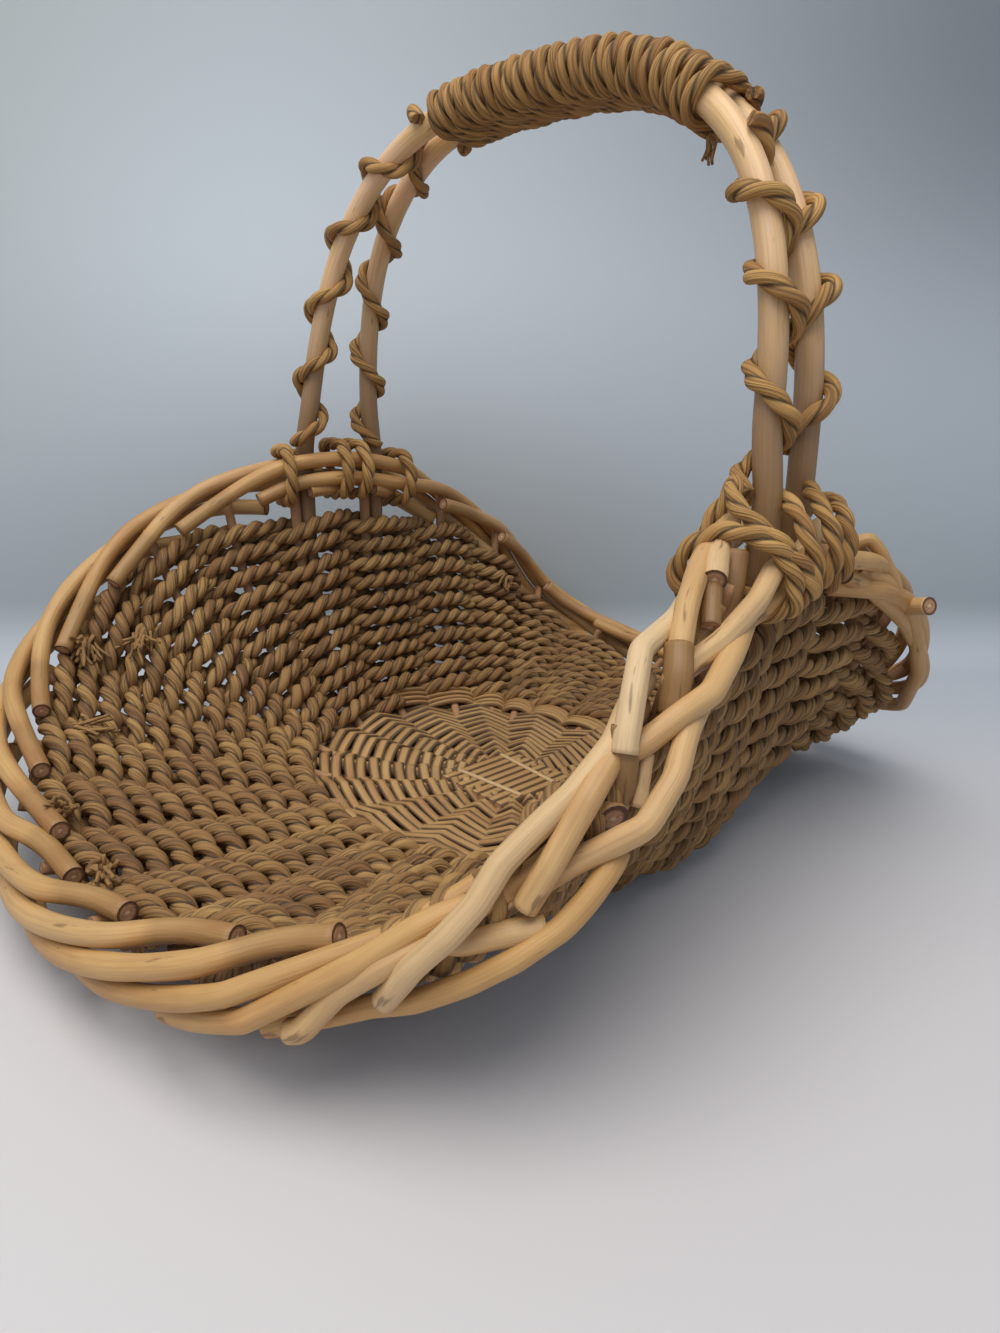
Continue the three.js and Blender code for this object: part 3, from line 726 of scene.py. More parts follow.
def willow_stake(number, distance):
    line = upright_line(distance, STAKE_RISE)[0]
    path = even_path(smooth_path(line, STAKE_ROUNDS), STAKE_STEP)[0]
    path = wobble(path, *STAKE_WOBBLE, number)
    radii = STAKE_RADIUS * (1 + 0.06 * np.sin(np.linspace(0, 9, len(path)) + number))
    joined(f"willow_stake_{number:02d}", [round_tube(path, radii, STAKE_SIDES)], stake_willow,
           [f"stake_{number:02d}"])


def companion(number, distance):
    """A short length of stake beside a far leg, which shows above the rows of rope."""
    point, _, _, outward = wall_place(distance, np.linspace(0.6, 0.99, 20))
    mesh = swept_mesh(point - outward * COMPANION_INSIDE, COMPANION_RADIUS, 0, round_profile(STAKE_SIDES))
    joined(f"far_companion_{number}", [mesh], stake_willow, [])


stake_places = [distance for distance, leg in uprights if not leg]
for number, distance in enumerate(stake_places, 1):
    willow_stake(number, distance)
companion(1, FAR_FOOT + FAR_SPREAD + COMPANION_SHIFT)
companion(2, FAR_FOOT - FAR_SPREAD + COMPANION_SHIFT)
print("stakes:", len(stake_places))

# %% [markdown]
# ## Rolled border
# Each rod starts low on the outside, climbs over the top as it runs round the rim, dives under the
# rods that follow and ends inside as a cut stub. All twenty-four do the same, one step apart. A rod's
# section is placed by how far it has got, on a small arc across the rim that is wide at the low lips
# and tall beside the handle's feet. On the near side the real border is kinked and broken, and there
# the rods run through given stops.

# %% Border rods
BORDER_BUTT = 4.6 * MM
BORDER_TIP = 4.1 * MM
RODS_BACK = 5
RODS_FRONT = 7
RODS_ACROSS = 4
ROLL_SHIFT = 0.6
FAR_LEVEL = FAR_SPREAD + 11 * MM
NEAR_LEVEL = NEAR_SPREAD + 13 * MM
# The arcs across the rim in mm, outward and up the wall, one place for each step that a rod has got.
SIDE_ROLL = [[12.2, -13.5], [13.2, -2.8], [8.2, 5.6], [-1.2, 7.6], [-11, -4], [-13.5, -10.5]]
FOOT_ROLL = [[13.5, -16.5], [15.5, -4.5], [10.9, 6], [-10.9, 7], [-12.3, -4], [-13, -14.5]]
LIP_ROLL = [[18, -0.8], [13, 8.6], [4.6, 13.2], [-4.6, 10.4], [-10.6, -0.8], [-13.5, -6]]
LIP_LEAN = (0.05, 0.75)
ROD_STEP = 3 * MM
ROD_POINTS = 90
ROD_ROUNDS = 12
ROD_SIDES = 16
ROD_WOBBLE = (0.8 * MM, 18)
OPEN_ENDS = (630 * MM, 900 * MM)
ROOT_BACK = 6 * MM
ROOT_OUT = 3 * MM
ROOT_DEPTH = 15 * MM
ROOT_SKIP = 4

# How many rods have begun, at marks round the rim. None begins beside a foot of the handle.
ROD_COUNT = 2 * (RODS_BACK + RODS_FRONT)
ONE_ROUND = np.array([
    [FAR_FOOT - FAR_LEVEL, RODS_BACK],
    [FAR_FOOT + FAR_LEVEL, RODS_BACK],
    [NEAR_FOOT - NEAR_LEVEL, RODS_BACK + 2 * RODS_FRONT],
    [NEAR_FOOT + NEAR_LEVEL, RODS_BACK + 2 * RODS_FRONT],
])
WHOLE_ROUND = [RIM_LENGTH, ROD_COUNT]
ROD_MARKS = np.vstack([ONE_ROUND[1:] - WHOLE_ROUND, ONE_ROUND, ONE_ROUND[:1] + WHOLE_ROUND])


def roll_place(roll, progress):
    pairs = np.array(roll) * MM
    along = progress + 1 - ROLL_SHIFT
    low = np.minimum(np.floor(along).astype(int), len(pairs) - 2)
    near = [pairs[np.clip(low + k, 0, len(pairs) - 1)] for k in (-1, 0, 1, 2)]
    return through(*near, (along - low)[:, None])


def border_line(first_count):
    start, end = np.interp([first_count, first_count + RODS_ACROSS], ROD_MARKS[:, 1], ROD_MARKS[:, 0])
    distance = np.linspace(start, end, ROD_POINTS)
    progress = np.clip(np.interp(distance, ROD_MARKS[:, 0], ROD_MARKS[:, 1]) - first_count, 0, RODS_ACROSS)
    point, rising, _, outward = wall_place(distance, 1)
    lip = smooth_step(*LIP_LEAN, 1 - rising[:, 2])[:, None]
    foot = nearness_to_foot(distance)[:, None]
    plain = roll_place(SIDE_ROLL, progress) * (1 - lip) + roll_place(LIP_ROLL, progress) * lip
    shift = plain * (1 - foot) + roll_place(FOOT_ROLL, progress) * foot
    return point + outward * shift[:, :1] + rising * shift[:, 1:], distance


def rooted(line, distance):
    """Away from the front, a rod comes up out of the wall, which hides its end."""
    if OPEN_ENDS[0] < distance[0] % RIM_LENGTH < OPEN_ENDS[1]:
        return line
    point, rising, _, outward = wall_place(distance[:1] - ROOT_BACK, 1)
    return np.vstack([point + outward * ROOT_OUT - rising * ROOT_DEPTH, line[ROOT_SKIP:]])


def rod_radii(path, butt, tip, seed):
    share = np.linspace(0, 1, len(path))
    bumps = np.array([noise.noise(Vector((s * 9, seed * 3.7, 0))) for s in share])
    return (butt + (tip - butt) * share) * (1 + 0.05 * bumps)


def rerouted(first_count, leave, stops, join):
    """The regular rod up to `leave`, then straight runs between stops, then the rod again from `join`."""
    regular, distance = border_line(first_count)
    line = [regular[distance < leave * MM]] if leave else []
    line.append(stops_line(stops))
    if join:
        line.append(regular[distance > join * MM])
    return np.vstack(line)


# Rods of the near side, by number: where the regular rod is left, the stops, and where it is joined.
KINKED_RODS = {
    2: (None, [(1166, 9, -8), (1190, 11, -7), (1215, 11, -7), (1240, 12, -6)], -202),
    3: (None, [(1176, 9, -2), (1200, 13, -1), (1230, 14, -1), (1262, 15, -3), (1290, 16, -5)], -134),
    18: (840, [(893, -5, -6), (909, -6, -9), (924, -5.6, -12)], None),
    19: (845, [(881, -0.5, 5), (901, -3, 3), (911, -2, 0), (922, 1.4, -4), (936, 3.5, -6),
               (948, 4.7, -8)], None),
    20: (860, [(873, 5.8, 2), (886, 2.6, 4), (903, 1.3, 1), (909, 5.8, -4), (922, 11.8, -5),
               (930, 16, -8)], None),
    21: (None, [(928, 10, -2), (938, 8, 3), (957, 4, 6), (971, 1, 2), (981, 5, 0), (995, 8, 1),
                (1007, 11, 0), (1029, 10, -3), (1056, 8, -10)], None),
    22: (None, [(973, 4, 4), (976, 2, 6), (985, -3, 9), (1001, -11, 8), (1026, -9, 3), (1052, -9, 0),
                (1081, -12, -3), (1100, -13, -3)], 1125),
    23: (None, [(1013, 0, -3), (1028, 6, -1), (1055, 10, -2), (1070, 11, 1), (1086, 12, -2),
                (1105, 12, -6)], 1130),
    24: (None, [(1066, 6, -16), (1076, 14, -10), (1088, 15.5, -6)], 1100),
}
# Rods of the front scoop that end lower and sooner than the regular ones.
SHORT_RODS = {
    14: (686, [(700, -7, 2), (712, -7.5, -0.5), (733, -6.5, -1.5)], None),
    15: (738, [(750, -7, 2), (761, -7.5, -1), (775, -7, -2)], None),
    16: (786, [(802, -8, 0.5), (815, -8.5, -2.5), (831, -8, -3.5)], None),
    17: (831, [(847, -8, 0), (858, -9, -3), (873, -8.5, -4)], None),
}
NEAR_ROD = 3.8 * MM
NEAR_TONES = {2: 0.45, 3: 0.4, 18: 0.4, 19: 0.55, 20: 0.7, 21: 0.65, 22: 1.0, 23: 0.75, 24: 0.5}
ROD_TONES = (0.34, 0.66)
TIP_REACH = 42 * MM
TIP_BLEND = 0.7
TIP_TONE = 0.26
KINK_ROUNDS = 2
KINK_STEP = 1.5 * MM
SHORT_ROUNDS = 6


def brown_tip(piece):
    """Each rod fades to a darker tone over its last stretch towards the tip."""
    straight = piece.data.attributes["straight"].data
    vectors = np.zeros(3 * len(straight), np.float32)
    straight.foreach_get("vector", vectors)
    along = vectors[2::3]
    share = smooth_step(along.max() - TIP_REACH, along.max() - TIP_REACH * TIP_BLEND, along)
    tone = piece.data.attributes["tone"].data
    values = np.zeros(len(tone), np.float32)
    tone.foreach_get("value", values)
    tone.foreach_set("value", (values * (1 - share) + TIP_TONE * share).astype(np.float32))


def rod_path(rod):
    first_count = rod - RODS_BACK - ROLL_SHIFT
    if rod in KINKED_RODS:
        path = even_path(rerouted(first_count, *KINKED_RODS[rod]), KINK_STEP)[0]
        return smooth_path(path, KINK_ROUNDS)
    if rod in SHORT_RODS:
        path = even_path(rerouted(first_count, *SHORT_RODS[rod]), ROD_STEP)[0]
        return even_path(smooth_path(path, SHORT_ROUNDS), ROD_STEP)[0]
    line = rooted(*border_line(first_count))
    return even_path(smooth_path(line, ROD_ROUNDS), ROD_STEP)[0]


def rolled_rod(rod):
    butt, tip, tone = BORDER_BUTT, BORDER_TIP, float(random.uniform(*ROD_TONES))
    if rod in KINKED_RODS:
        butt, tip, tone = NEAR_ROD, NEAR_ROD, NEAR_TONES[rod]
    path = wobble(rod_path(rod), *ROD_WOBBLE, rod)
    mesh = round_tube(path, rod_radii(path, butt, tip, rod), ROD_SIDES)
    piece = joined(f"rolled_rod_{rod:02d}", [mesh], border_willow,
                   [f"border_rod_{rod:02d}"], [tone])
    if rod not in KINKED_RODS:
        brown_tip(piece)


for rod in range(1, ROD_COUNT + 1):
    rolled_rod(rod)
print("border rods:", ROD_COUNT)

# %% Broken rods
# Lengths that no regular rod explains: name, stops, radius in mm and tone.
BROKEN_RODS = [
    ("creased_rod", [(1008, -1, 4.5), (1012, -3, 7), (1028, -7, 8), (1050, -10, 8), (1070, -10, 8),
                     (1098, -12, 6)], 3.8, 0.65),
    ("crease_core", [(1011, -3, 6), (1004, 1, 3), (998, 4.5, -5)], 4.5, 0.14),
    ("crossing_rod", [(884, 10.4, -4), (890, 7.7, 1), (896, 5.4, 5), (907, 3.7, 7), (917, 1.8, 6),
                      (929, -2, 5), (957, 0, 4), (975, -1, 2), (989, -5, 0), (1007, -9, -6)], 3.8, 0.8),
    ("outer_rod", [(842, 17.4, -8), (854, 15, -8), (879, 11.5, -8), (892, 13.3, -7), (907, 15.6, -6),
                   (918, 17.8, -5), (932, 19.5, -6), (942, 19.2, -6), (952, 18.5, -6), (957, 17, -8)],
     3.5, 0.45),
    ("side_rod", [(924, 4, -8), (946, 10, -5), (954, 15, -2), (962, 20, 1), (979, 18, -1),
                  (997, 11, -4), (1014, 8, -10)], 3.7, 0.7),
    ("knot_stub", [(973, 0, -14), (967, 4.5, -10), (963, 10.4, -6.5)], 4.8, 0.3),
    ("pale_core", [(979, 0, 6), (974, 4, 1), (971, 7, -6), (970, 7, -12)], 4.2, 0.14),
    ("upright_stub", [(1075, -9, 8), (1052, -5, 9), (1043, -3, 8)], 4.2, 0.8),
    ("stub_core", [(1052, -4.5, 7), (1043, -3, 4), (1031, 1, 0)], 3.3, 0.1),
    ("foot_stub", [(1064, -1, 8), (1060, 0, 2), (1056, 1, -6), (1050, 1, -14)], 4.4, 0.1),
    ("low_stub", [(1040, -1, 2), (1034, -1, -5), (1028, -1, -12)], 4.2, 0.1),
    ("thin_stub", [(982, 7, -3), (971, 13.5, -9)], 2.2, 0.8),
    ("sprung_rod", [(1170, 2, -8), (1176, 0, -2), (1180, 2, 7), (1184, 6, 12), (1190, 10, 9),
                    (1205, 13, 3), (1216, 14, -3)], 2.8, 0.6),
    ("far_stub_front", [(352, -5, -9), (362, -9, -10), (374, -12, -10)], 3.8, 0.4),
    ("far_stub_back", [(316, -4, -9), (325, -9, -10), (335, -12, -10)], 3.8, 0.4),
    ("end_stub", [(1232, 10, -3), (1226, 18, 0), (1223, 25, 2)], 4.2, 0.7),
]
BROKEN_SEED = 50
BROKEN_SIDES = 14
BROKEN_WOBBLE = (0.5 * MM, 30)

for name, stops, radius, tone in BROKEN_RODS:
    path = smooth_path(even_path(stops_line(stops), KINK_STEP)[0], KINK_ROUNDS)
    path = wobble(path, *BROKEN_WOBBLE, radius)
    radii = rod_radii(path, radius * MM, radius * MM, BROKEN_SEED)
    joined(name, [round_tube(path, radii, BROKEN_SIDES)], border_willow, [], [tone])

# %% [markdown]
# ## Handle
# Two thick rods make the handle. Each rises from the base inside the wall, passes through the border
# and bends over in a squarish arch, wide apart at the feet and close together at the grip.

# %% Handle rods
HANDLE_TOP = 334 * MM
ARCH_FOOT_Z = 166 * MM
ARCH_HALF_SPAN = 145 * MM
ARCH_POWER = 2 / 2.8
ARCH_LEAN = 8 * MM
ARCH_SHIFT = 6 * MM
ARCH_START = 0.03
ARCH_POINTS = 61
TOP_SPREAD = 8.3 * MM
LEG_RISE = 15 * MM
HANDLE_ROUNDS = 14
HANDLE_STEP = 2.5 * MM
HANDLE_SLIM = 0.97
HANDLE_SIDES = 20
HANDLE_WOBBLE = (1.2 * MM, 11)
HANDLE_SEED = 40


def arch_line(side, start, end, count):
    share = np.linspace(start, end, count)
    angle = np.pi * share
    run = np.abs(np.cos(angle)) ** ARCH_POWER * np.sign(-np.cos(angle))
    rise = np.maximum(np.sin(angle), 0) ** ARCH_POWER
    foot_spread = np.where(share < 0.5, NEAR_SPREAD, FAR_SPREAD)
    half_gap = TOP_SPREAD + (foot_spread - TOP_SPREAD) * (1 - rise)
    x = ARCH_SHIFT + ARCH_LEAN * rise + side * half_gap
    return np.stack([x, ARCH_HALF_SPAN * run, ARCH_FOOT_Z + (HANDLE_TOP - ARCH_FOOT_Z) * rise], axis=-1)


def bent_rod(name, side):
    near, near_share = upright_line(NEAR_FOOT + side * NEAR_SPREAD, LEG_RISE)
    far, far_share = upright_line(FAR_FOOT - side * FAR_SPREAD, LEG_RISE)
    line = np.vstack([near, arch_line(side, ARCH_START, 1 - ARCH_START, ARCH_POINTS), far[::-1]])
    radii = leg_radius(np.concatenate([near_share, np.ones(ARCH_POINTS), far_share[::-1]]))
    path, radii = even_path(line, HANDLE_STEP, radii)
    path = wobble(smooth_path(path, HANDLE_ROUNDS), *HANDLE_WOBBLE, HANDLE_SEED + side)
    mesh = round_tube(path, radii * HANDLE_SLIM, HANDLE_SIDES)
    joined(f"bent_rod_{name}", [mesh], handle_willow, [f"handle_rod_{name}"])


bent_rod("front", -1)
bent_rod("back", 1)
print("handle rods: 2")

# %% [markdown]
# ## Bindings
# The grip is one rope wound closely round both rods, and four more wind up the legs in open spirals.
# At each foot a rope lashes the legs to the border.

# %% Grip winding
HANDLE_ROD = 5.6 * MM
GRIP_RADIUS = 3.15 * MM
GRIP_PRESS = 0.2 * MM
GRIP_LOOPS = 25
GRIP_LAY = 34 * MM
GRIP_PITCH = 6.3 * MM
GRIP_SHIFT = -27 * MM
GRIP_STEP = 1.1 * MM
GRIP_PLY = 7
LOOP_POINTS = 64
ARCH_READ = (0.004, 0.996, 601)


def bound_piece(name, path, radius, lay, per_ply, node):
    mesh = swept_mesh(path, radius, lay_turns(path, lay), ply_profile(per_ply), "MINIMUM")
    joined(name, [mesh], bound_rope, [node])


def along_arch(side, lengths):
    """Point, outward and across directions at lengths along the arch, and the arch's whole length."""
    arch = arch_line(side, *ARCH_READ)
    travel = travel_of(arch)
    at = np.clip(lengths, 0, travel[-1])
    tangent = unit(read_path(np.gradient(arch, axis=0), travel, at))
    out = unit(np.array([1.0, 0, 0]) - tangent * tangent[:, :1])
    return read_path(arch, travel, at), out, np.cross(tangent, out), travel[-1]


def grip_line():
    """Round one rod, straight over to the other, round it and back, again and again."""
    turns = np.linspace(0, GRIP_LOOPS, GRIP_LOOPS * LOOP_POINTS)
    point, out, across, _ = along_arch(0, GRIP_START + turns * GRIP_PITCH)
    reach = HANDLE_ROD + GRIP_RADIUS - GRIP_PRESS
    bend, flat = math.pi * reach, 2 * TOP_SPREAD
    walk = (turns % 1) * 2 * (bend + flat)
    half = np.where(walk < bend + flat, 1, -1)
    walk = np.where(half > 0, walk, walk - bend - flat)
    angle = np.clip(walk / reach, 0, math.pi) - math.pi / 2
    slide = np.clip((walk - bend) / flat, 0, 1)
    x = half * (TOP_SPREAD + reach * np.cos(angle)) - half * slide * flat
    y = half * reach * np.sin(angle)
    return point + out * x[:, None] + across * y[:, None]


ARCH_LENGTH = along_arch(0, np.zeros(1))[3]
GRIP_START = ARCH_LENGTH / 2 + GRIP_SHIFT - GRIP_LOOPS / 2 * GRIP_PITCH
bound_piece("grip_rope", even_path(grip_line(), GRIP_STEP)[0], GRIP_RADIUS, GRIP_LAY, GRIP_PLY,
            "grip_winding")

# %% Leg windings
LEG_ROPE_RADIUS = 3.7 * MM
LEG_ROPE_PRESS = 1.3 * MM
LEG_ROPE_LAY = 25 * MM
LEG_ROUNDS = 12
BACK_LEG_PHASE = math.pi + math.radians(80)
BOUND_STEP = 1.2 * MM
BOUND_PLY = 8
# Height along the arch in mm at each whole turn, from one turn below the first.
LEG_TURNS = {
    ("near", "front"): [-17, 20, 58, 91, 121, 150],
    ("near", "back"): [0, 33.5, 71, 99, 133, 165],
    ("far", "front"): range(-19, 216, 39),
    ("far", "back"): range(-19, 216, 39),
}
FIRST_TURN = -0.5
LAST_TURN = {"near": 3.3, "far": 4.5}
TURN_POINTS = {"near": 190, "far": 240}


def leg_line(foot, side, marks):
    turn = np.linspace(FIRST_TURN, LAST_TURN[foot], TURN_POINTS[foot])
    whole = along_arch(side, np.zeros(1))[3]
    run = np.interp(turn + 1, np.arange(len(marks)), marks) * MM
    run = smooth_path(run[:, None], LEG_ROUNDS)[:, 0]
    point, out, across, _ = along_arch(side, run if foot == "near" else whole - run)
    phase = BACK_LEG_PHASE if side > 0 else 0
    angle = phase + side * 2 * math.pi * turn
    reach = HANDLE_ROD + LEG_ROPE_RADIUS - LEG_ROPE_PRESS
    return point + out * (reach * np.cos(angle))[:, None] + across * (reach * np.sin(angle))[:, None]


for (foot, leg), marks in LEG_TURNS.items():
    path = even_path(leg_line(foot, -1 if leg == "front" else 1, marks), BOUND_STEP)[0]
    bound_piece(f"leg_rope_{foot}_{leg}", path, LEG_ROPE_RADIUS, LEG_ROPE_LAY, BOUND_PLY,
                f"leg_winding_{foot}_{leg}")

# %% Lashings
LASHING_LAY = 23 * MM
FAR_RADIUS = 3.9 * MM
NEAR_RADIUS = 3.5 * MM
# The far foot's rope goes round the border on this loop, outward and up in mm, at four places along it.
FAR_LOOP = np.array([[-20.5, -3], [-19.5, 6.5], [-13, 14], [0, 15.2], [11.5, 14.2], [19.5, 8], [23.5, -2],
                     [22, -10.5], [13, -14], [-2, -14], [-14.5, -12]])
FAR_PLACES = [36, 5, -6.5, -37]
OUTSIDE_STOP = 5
STOP_POINTS = 12
# The near foot's rope, as distance from the foot, outward and up: three loops over the border, with a
# slanting turn across the front leg, and two round the back leg.
NEAR_LASHING = [
    (-54, -9, -15), (-56, -18, -4), (-55, -17, 6), (-53, -8, 14), (-51, 3, 14), (-48, 13, 9), (-45, 19, -1),
    (-43, 19, -12), (-38, 4, -18), (-28, -14, -14), (-22, -20, 0), (-18, -14, 16), (-25, -11, 21),
    (-34, -8, 18), (-40, 1, 14), (-46, 12, 11), (-42, 21, 2), (-37, 23, -9), (-28, 8, -18), (-14, -12, -15),
    (-4, -20, -2), (-3, -14, 11), (-6, -2, 16), (-16, 9, 14), (-25, 17, 8), (-27, 23, -3), (-24, 21, -14),
    (-8, 5, -18), (8, -12, -15), (22, -18, -3), (30, -15, 12), (30, -8, 19), (20, 0, 20), (6, 9, 17),
    (-2, 18, 10), (-4, 24, 0), (-2, 22, -12), (12, 6, -18), (30, -10, -15), (42, -17, -2), (42, -10, 13),
    (36, 2, 18), (24, 13, 14), (16, 21, 6), (14, 24, -5), (17, 18, -16), (26, 4, -18),
]


def far_lashing():
    """The loop's stops at each place, with one more stop on the outside between two places."""
    order = [*range(OUTSIDE_STOP + 1, len(FAR_LOOP)), *range(OUTSIDE_STOP)]
    stops = []
    for loop, place in enumerate(FAR_PLACES):
        if loop > 0:
            stops.append(((FAR_PLACES[loop - 1] + place) / 2, *FAR_LOOP[OUTSIDE_STOP]))
        stops += [(place, *FAR_LOOP[stop]) for stop in order]
    return stops


def lashing(name, foot, stops, radius):
    points = stops_line(stops, foot)
    padded = np.vstack([2 * points[:1] - points[1:2], points, 2 * points[-1:] - points[-2:-1]])
    share = np.linspace(0, 1, STOP_POINTS, endpoint=False)[:, None]
    runs = [through(*four, share) for four in zip(padded, padded[1:], padded[2:], padded[3:])]
    path = even_path(np.vstack([*runs, points[-1:]]), BOUND_STEP)[0]
    bound_piece(f"lashing_rope_{name}", path, radius, LASHING_LAY, BOUND_PLY, f"lashing_{name}")


lashing("far", FAR_FOOT, far_lashing(), FAR_RADIUS)
lashing("near", NEAR_FOOT, NEAR_LASHING, NEAR_RADIUS)
print("bindings: 7")

# %% Frayed ends
# Where a rope was joined inside the wall its ends stand out: distance round the rim, share of the way
# up, length, number of strands, and how far they lean along the rim, up the wall and to the front.
TUFTS = [
    (538, 0.91, 13, 26, 0.9, -0.2, 0), (508, 0.77, 13, 24, 0.8, -0.3, 0), (602, 0.83, 12, 24, 0.2, -0.9, 0),
    (684, 0.94, 8, 30, 0, 0, 1.5), (744, 0.94, 9, 32, 0, -0.2, 1.5), (202, 0.77, 10, 14, 0.5, -0.5, 0),
]
TO_FRONT = unit(np.array([-0.3, -0.85, 0.45]))
TUFT_INSIDE = 9 * MM
TAIL_AIM = np.array([0, -0.2, -1.0])
STRAND_POINTS = 8
STRAND_SIDES = 6
STRAND_SPREAD = 0.24
STRAND_BEND = 0.3
STRAND_SAG = [0, 0, -0.25]
STRAND_JOLT = 2 * MM
STRAND_LENGTHS = (0.6, 1.1)
STRAND_WIDTHS = (0.8, 1.25)
STRAND_TAPER = 0.25


def strands_of(origin, bearing, length, count, thick=1.0):
    meshes = []
    share = np.linspace(0, 1, STRAND_POINTS)[:, None]
    for _ in range(count):
        aim = unit(bearing + random.normal(0, STRAND_SPREAD, 3))
        bend = random.normal(0, STRAND_BEND, 3) + STRAND_SAG
        start = origin + random.normal(0, STRAND_JOLT * thick, 3)
        line = start + (aim * share + bend * share ** 2) * length * random.uniform(*STRAND_LENGTHS)
        radii = random.uniform(*STRAND_WIDTHS) * MM * thick * (1 - STRAND_TAPER * share[:, 0])
        meshes.append(round_tube(line, radii, STRAND_SIDES))
    return meshes


loose = []
for distance, share, length, count, sideways, up, front in TUFTS:
    point, rising, along, outward = wall_place(distance * MM, share)
    bearing = unit(along * sideways + rising * up + TO_FRONT * front - outward * 0.6)
    loose += strands_of(point - outward * TUFT_INSIDE, bearing, length * MM, count)
point, _, across, _ = along_arch(0, np.array([GRIP_START]))
under = point[0] - across[0] * np.sign(across[0][2]) * TUFT_INSIDE
loose += strands_of(under, TAIL_AIM, 7 * MM, 9, 0.8)
joined("frayed_ends", loose, frayed_rope, [])
print("frayed strands:", len(loose))

# %% [markdown]
# ## Base
# Sixteen thin sticks spread from a lozenge of flat sticks in the middle, and pairs of flat
# split-willow strips are twined round them from the lozenge out to the edge, wider where the rings
# are further apart. A strip rises over a stick and dips behind the next, which makes the rows of
# little roofs. Where the first row of rope leaves the edge, more strips fill the wedge below it.

# %% Woven base
HUB = np.array([3, -11, 0]) * MM
HUB_HALF = np.array([18, 24]) * MM
EDGE_HALF = np.array([86, 107]) * MM
BASE_STICKS = 16
STICK_POINTS = 30
STICK_REACH = (-0.15, 0.97)
STICK_HEIGHT = 7.6 * MM
STICK_RADIUS = 4.1 * MM
STICK_SIDES = 10
# Twelve rings reach from the hub to the edge, and one more lies past it, under the first rope.
BASE_RINGS = 12
RING_SPREAD = 0.08
RING_JOLT = 0.3 * MM
USUAL_RING_PITCH = 5.9 * MM
STRIP_WIDTH = 4.8 * MM
STRIP_THICK = 1.9 * MM
STRIP_STEP = 1.4 * MM
STRIP_CORNERS = [(1, -0.5), (1, 0.5), (0.75, 1), (-0.75, 1), (-1, 0.5), (-1, -0.5), (-0.75, -1), (0.75, -1)]
STRIP_TONES = (0.3, 0.6)


def flat_strip(line, width, thick, sizes=1.0):
    path, sizes = even_path(line, STRIP_STEP, np.ones(len(line)) * sizes)
    corners = [(x * width / 2 / MM, y * thick / 2 / MM) for x, y in STRIP_CORNERS]
    return swept_mesh(path, sizes * MM, 0, corners)


def base_place(angle, share):
    """A place on the base: share 0 is the edge of the hub and 1 the edge of the base."""
    half = HUB_HALF * (1 - share)[:, None] + EDGE_HALF * share[:, None]
    centre = HUB * (1 - share)[:, None] + BASE_CENTRE * share[:, None]
    flat = half * np.stack([np.cos(angle), np.sin(angle)], axis=-1)
    return centre + np.column_stack([flat, np.zeros(len(flat))])


def roof(count):
    """A wave of straight slopes: 1 at even whole counts and -1 at odd ones."""
    return 1 - 2 * np.abs(np.mod(count + 1, 2) - 1)


def ring_strip(ring, side):
    count = np.linspace(0, BASE_STICKS, BASE_STICKS * 16 + 1)
    share = (ring + 0.5) / BASE_RINGS + side * np.sin(np.pi * count) * RING_SPREAD / BASE_RINGS
    line = base_place(2 * np.pi * count / BASE_STICKS, share)
    line[:, 2] = STICK_HEIGHT + side * roof(count + ring % 2) * (STICK_RADIUS + STRIP_THICK / 2)
    line[:, 2] += jitter(BASE_STICKS, RING_JOLT, count)
    inner = base_place(2 * np.pi * count / BASE_STICKS, share - 1 / BASE_RINGS)
    pitch = np.linalg.norm((line - inner)[:, :2], axis=1)
    return flat_strip(line, STRIP_WIDTH, STRIP_THICK, pitch / USUAL_RING_PITCH)


def spread_stick(k):
    angle = np.full(STICK_POINTS, 2 * np.pi * k / BASE_STICKS)
    line = base_place(angle, np.linspace(*STICK_REACH, STICK_POINTS))
    line[:, 2] = STICK_HEIGHT
    return round_tube(line, STICK_RADIUS, STICK_SIDES)


strips = []
tones = []
for ring in range(BASE_RINGS + 1):
    for side in (1, -1):
        strips.append(ring_strip(ring, side))
        tones.append(float(random.uniform(*STRIP_TONES)))
joined("woven_strips", strips, split_willow, ["base_mat"], tones)
print("strips in the base:", len(strips))

# %% Hub
HUB_STICKS = 8
HUB_STICK_PITCH = 5.8 * MM
HUB_STICK_THICK = 6 * MM
HUB_STICK_REACH = 26 * MM
HUB_HEIGHT = 9.6 * MM
# The two bands over the hub's sticks: distance from its middle in mm, and slant.
HUB_BANDS = ((-13, -2), (15, 2))
BAND_REACH = 22 * MM
BAND_WIDTH = 2.6 * MM
BAND_THICK = 1.2 * MM
BAND_ABOVE = 0.3 * MM
BAND_TONE = 0.8


def straight_strip(middle, reach, width, thick):
    return flat_strip(HUB + middle + np.linspace(-1, 1, 12)[:, None] * reach, width, thick)


def hub_stick(k):
    middle = np.array([0, (k - (HUB_STICKS - 1) / 2) * HUB_STICK_PITCH, HUB_HEIGHT])
    return straight_strip(middle, np.array([HUB_STICK_REACH, 0, 0]), HUB_STICK_PITCH, HUB_STICK_THICK)


def hub_band(x, slant):
    middle = np.array([x * MM, 0, HUB_HEIGHT + HUB_STICK_THICK / 2 + BAND_ABOVE])
    return straight_strip(middle, np.array([slant * MM, BAND_REACH, 0]), BAND_WIDTH, BAND_THICK)


sticks = [spread_stick(k) for k in range(BASE_STICKS)] + [hub_stick(k) for k in range(HUB_STICKS)]
joined("base_sticks", sticks, split_willow, ["base_mat"])
bands = [hub_band(x, slant) for x, slant in HUB_BANDS]
joined("hub_bands", bands, split_willow, ["base_mat"], [BAND_TONE] * len(bands))

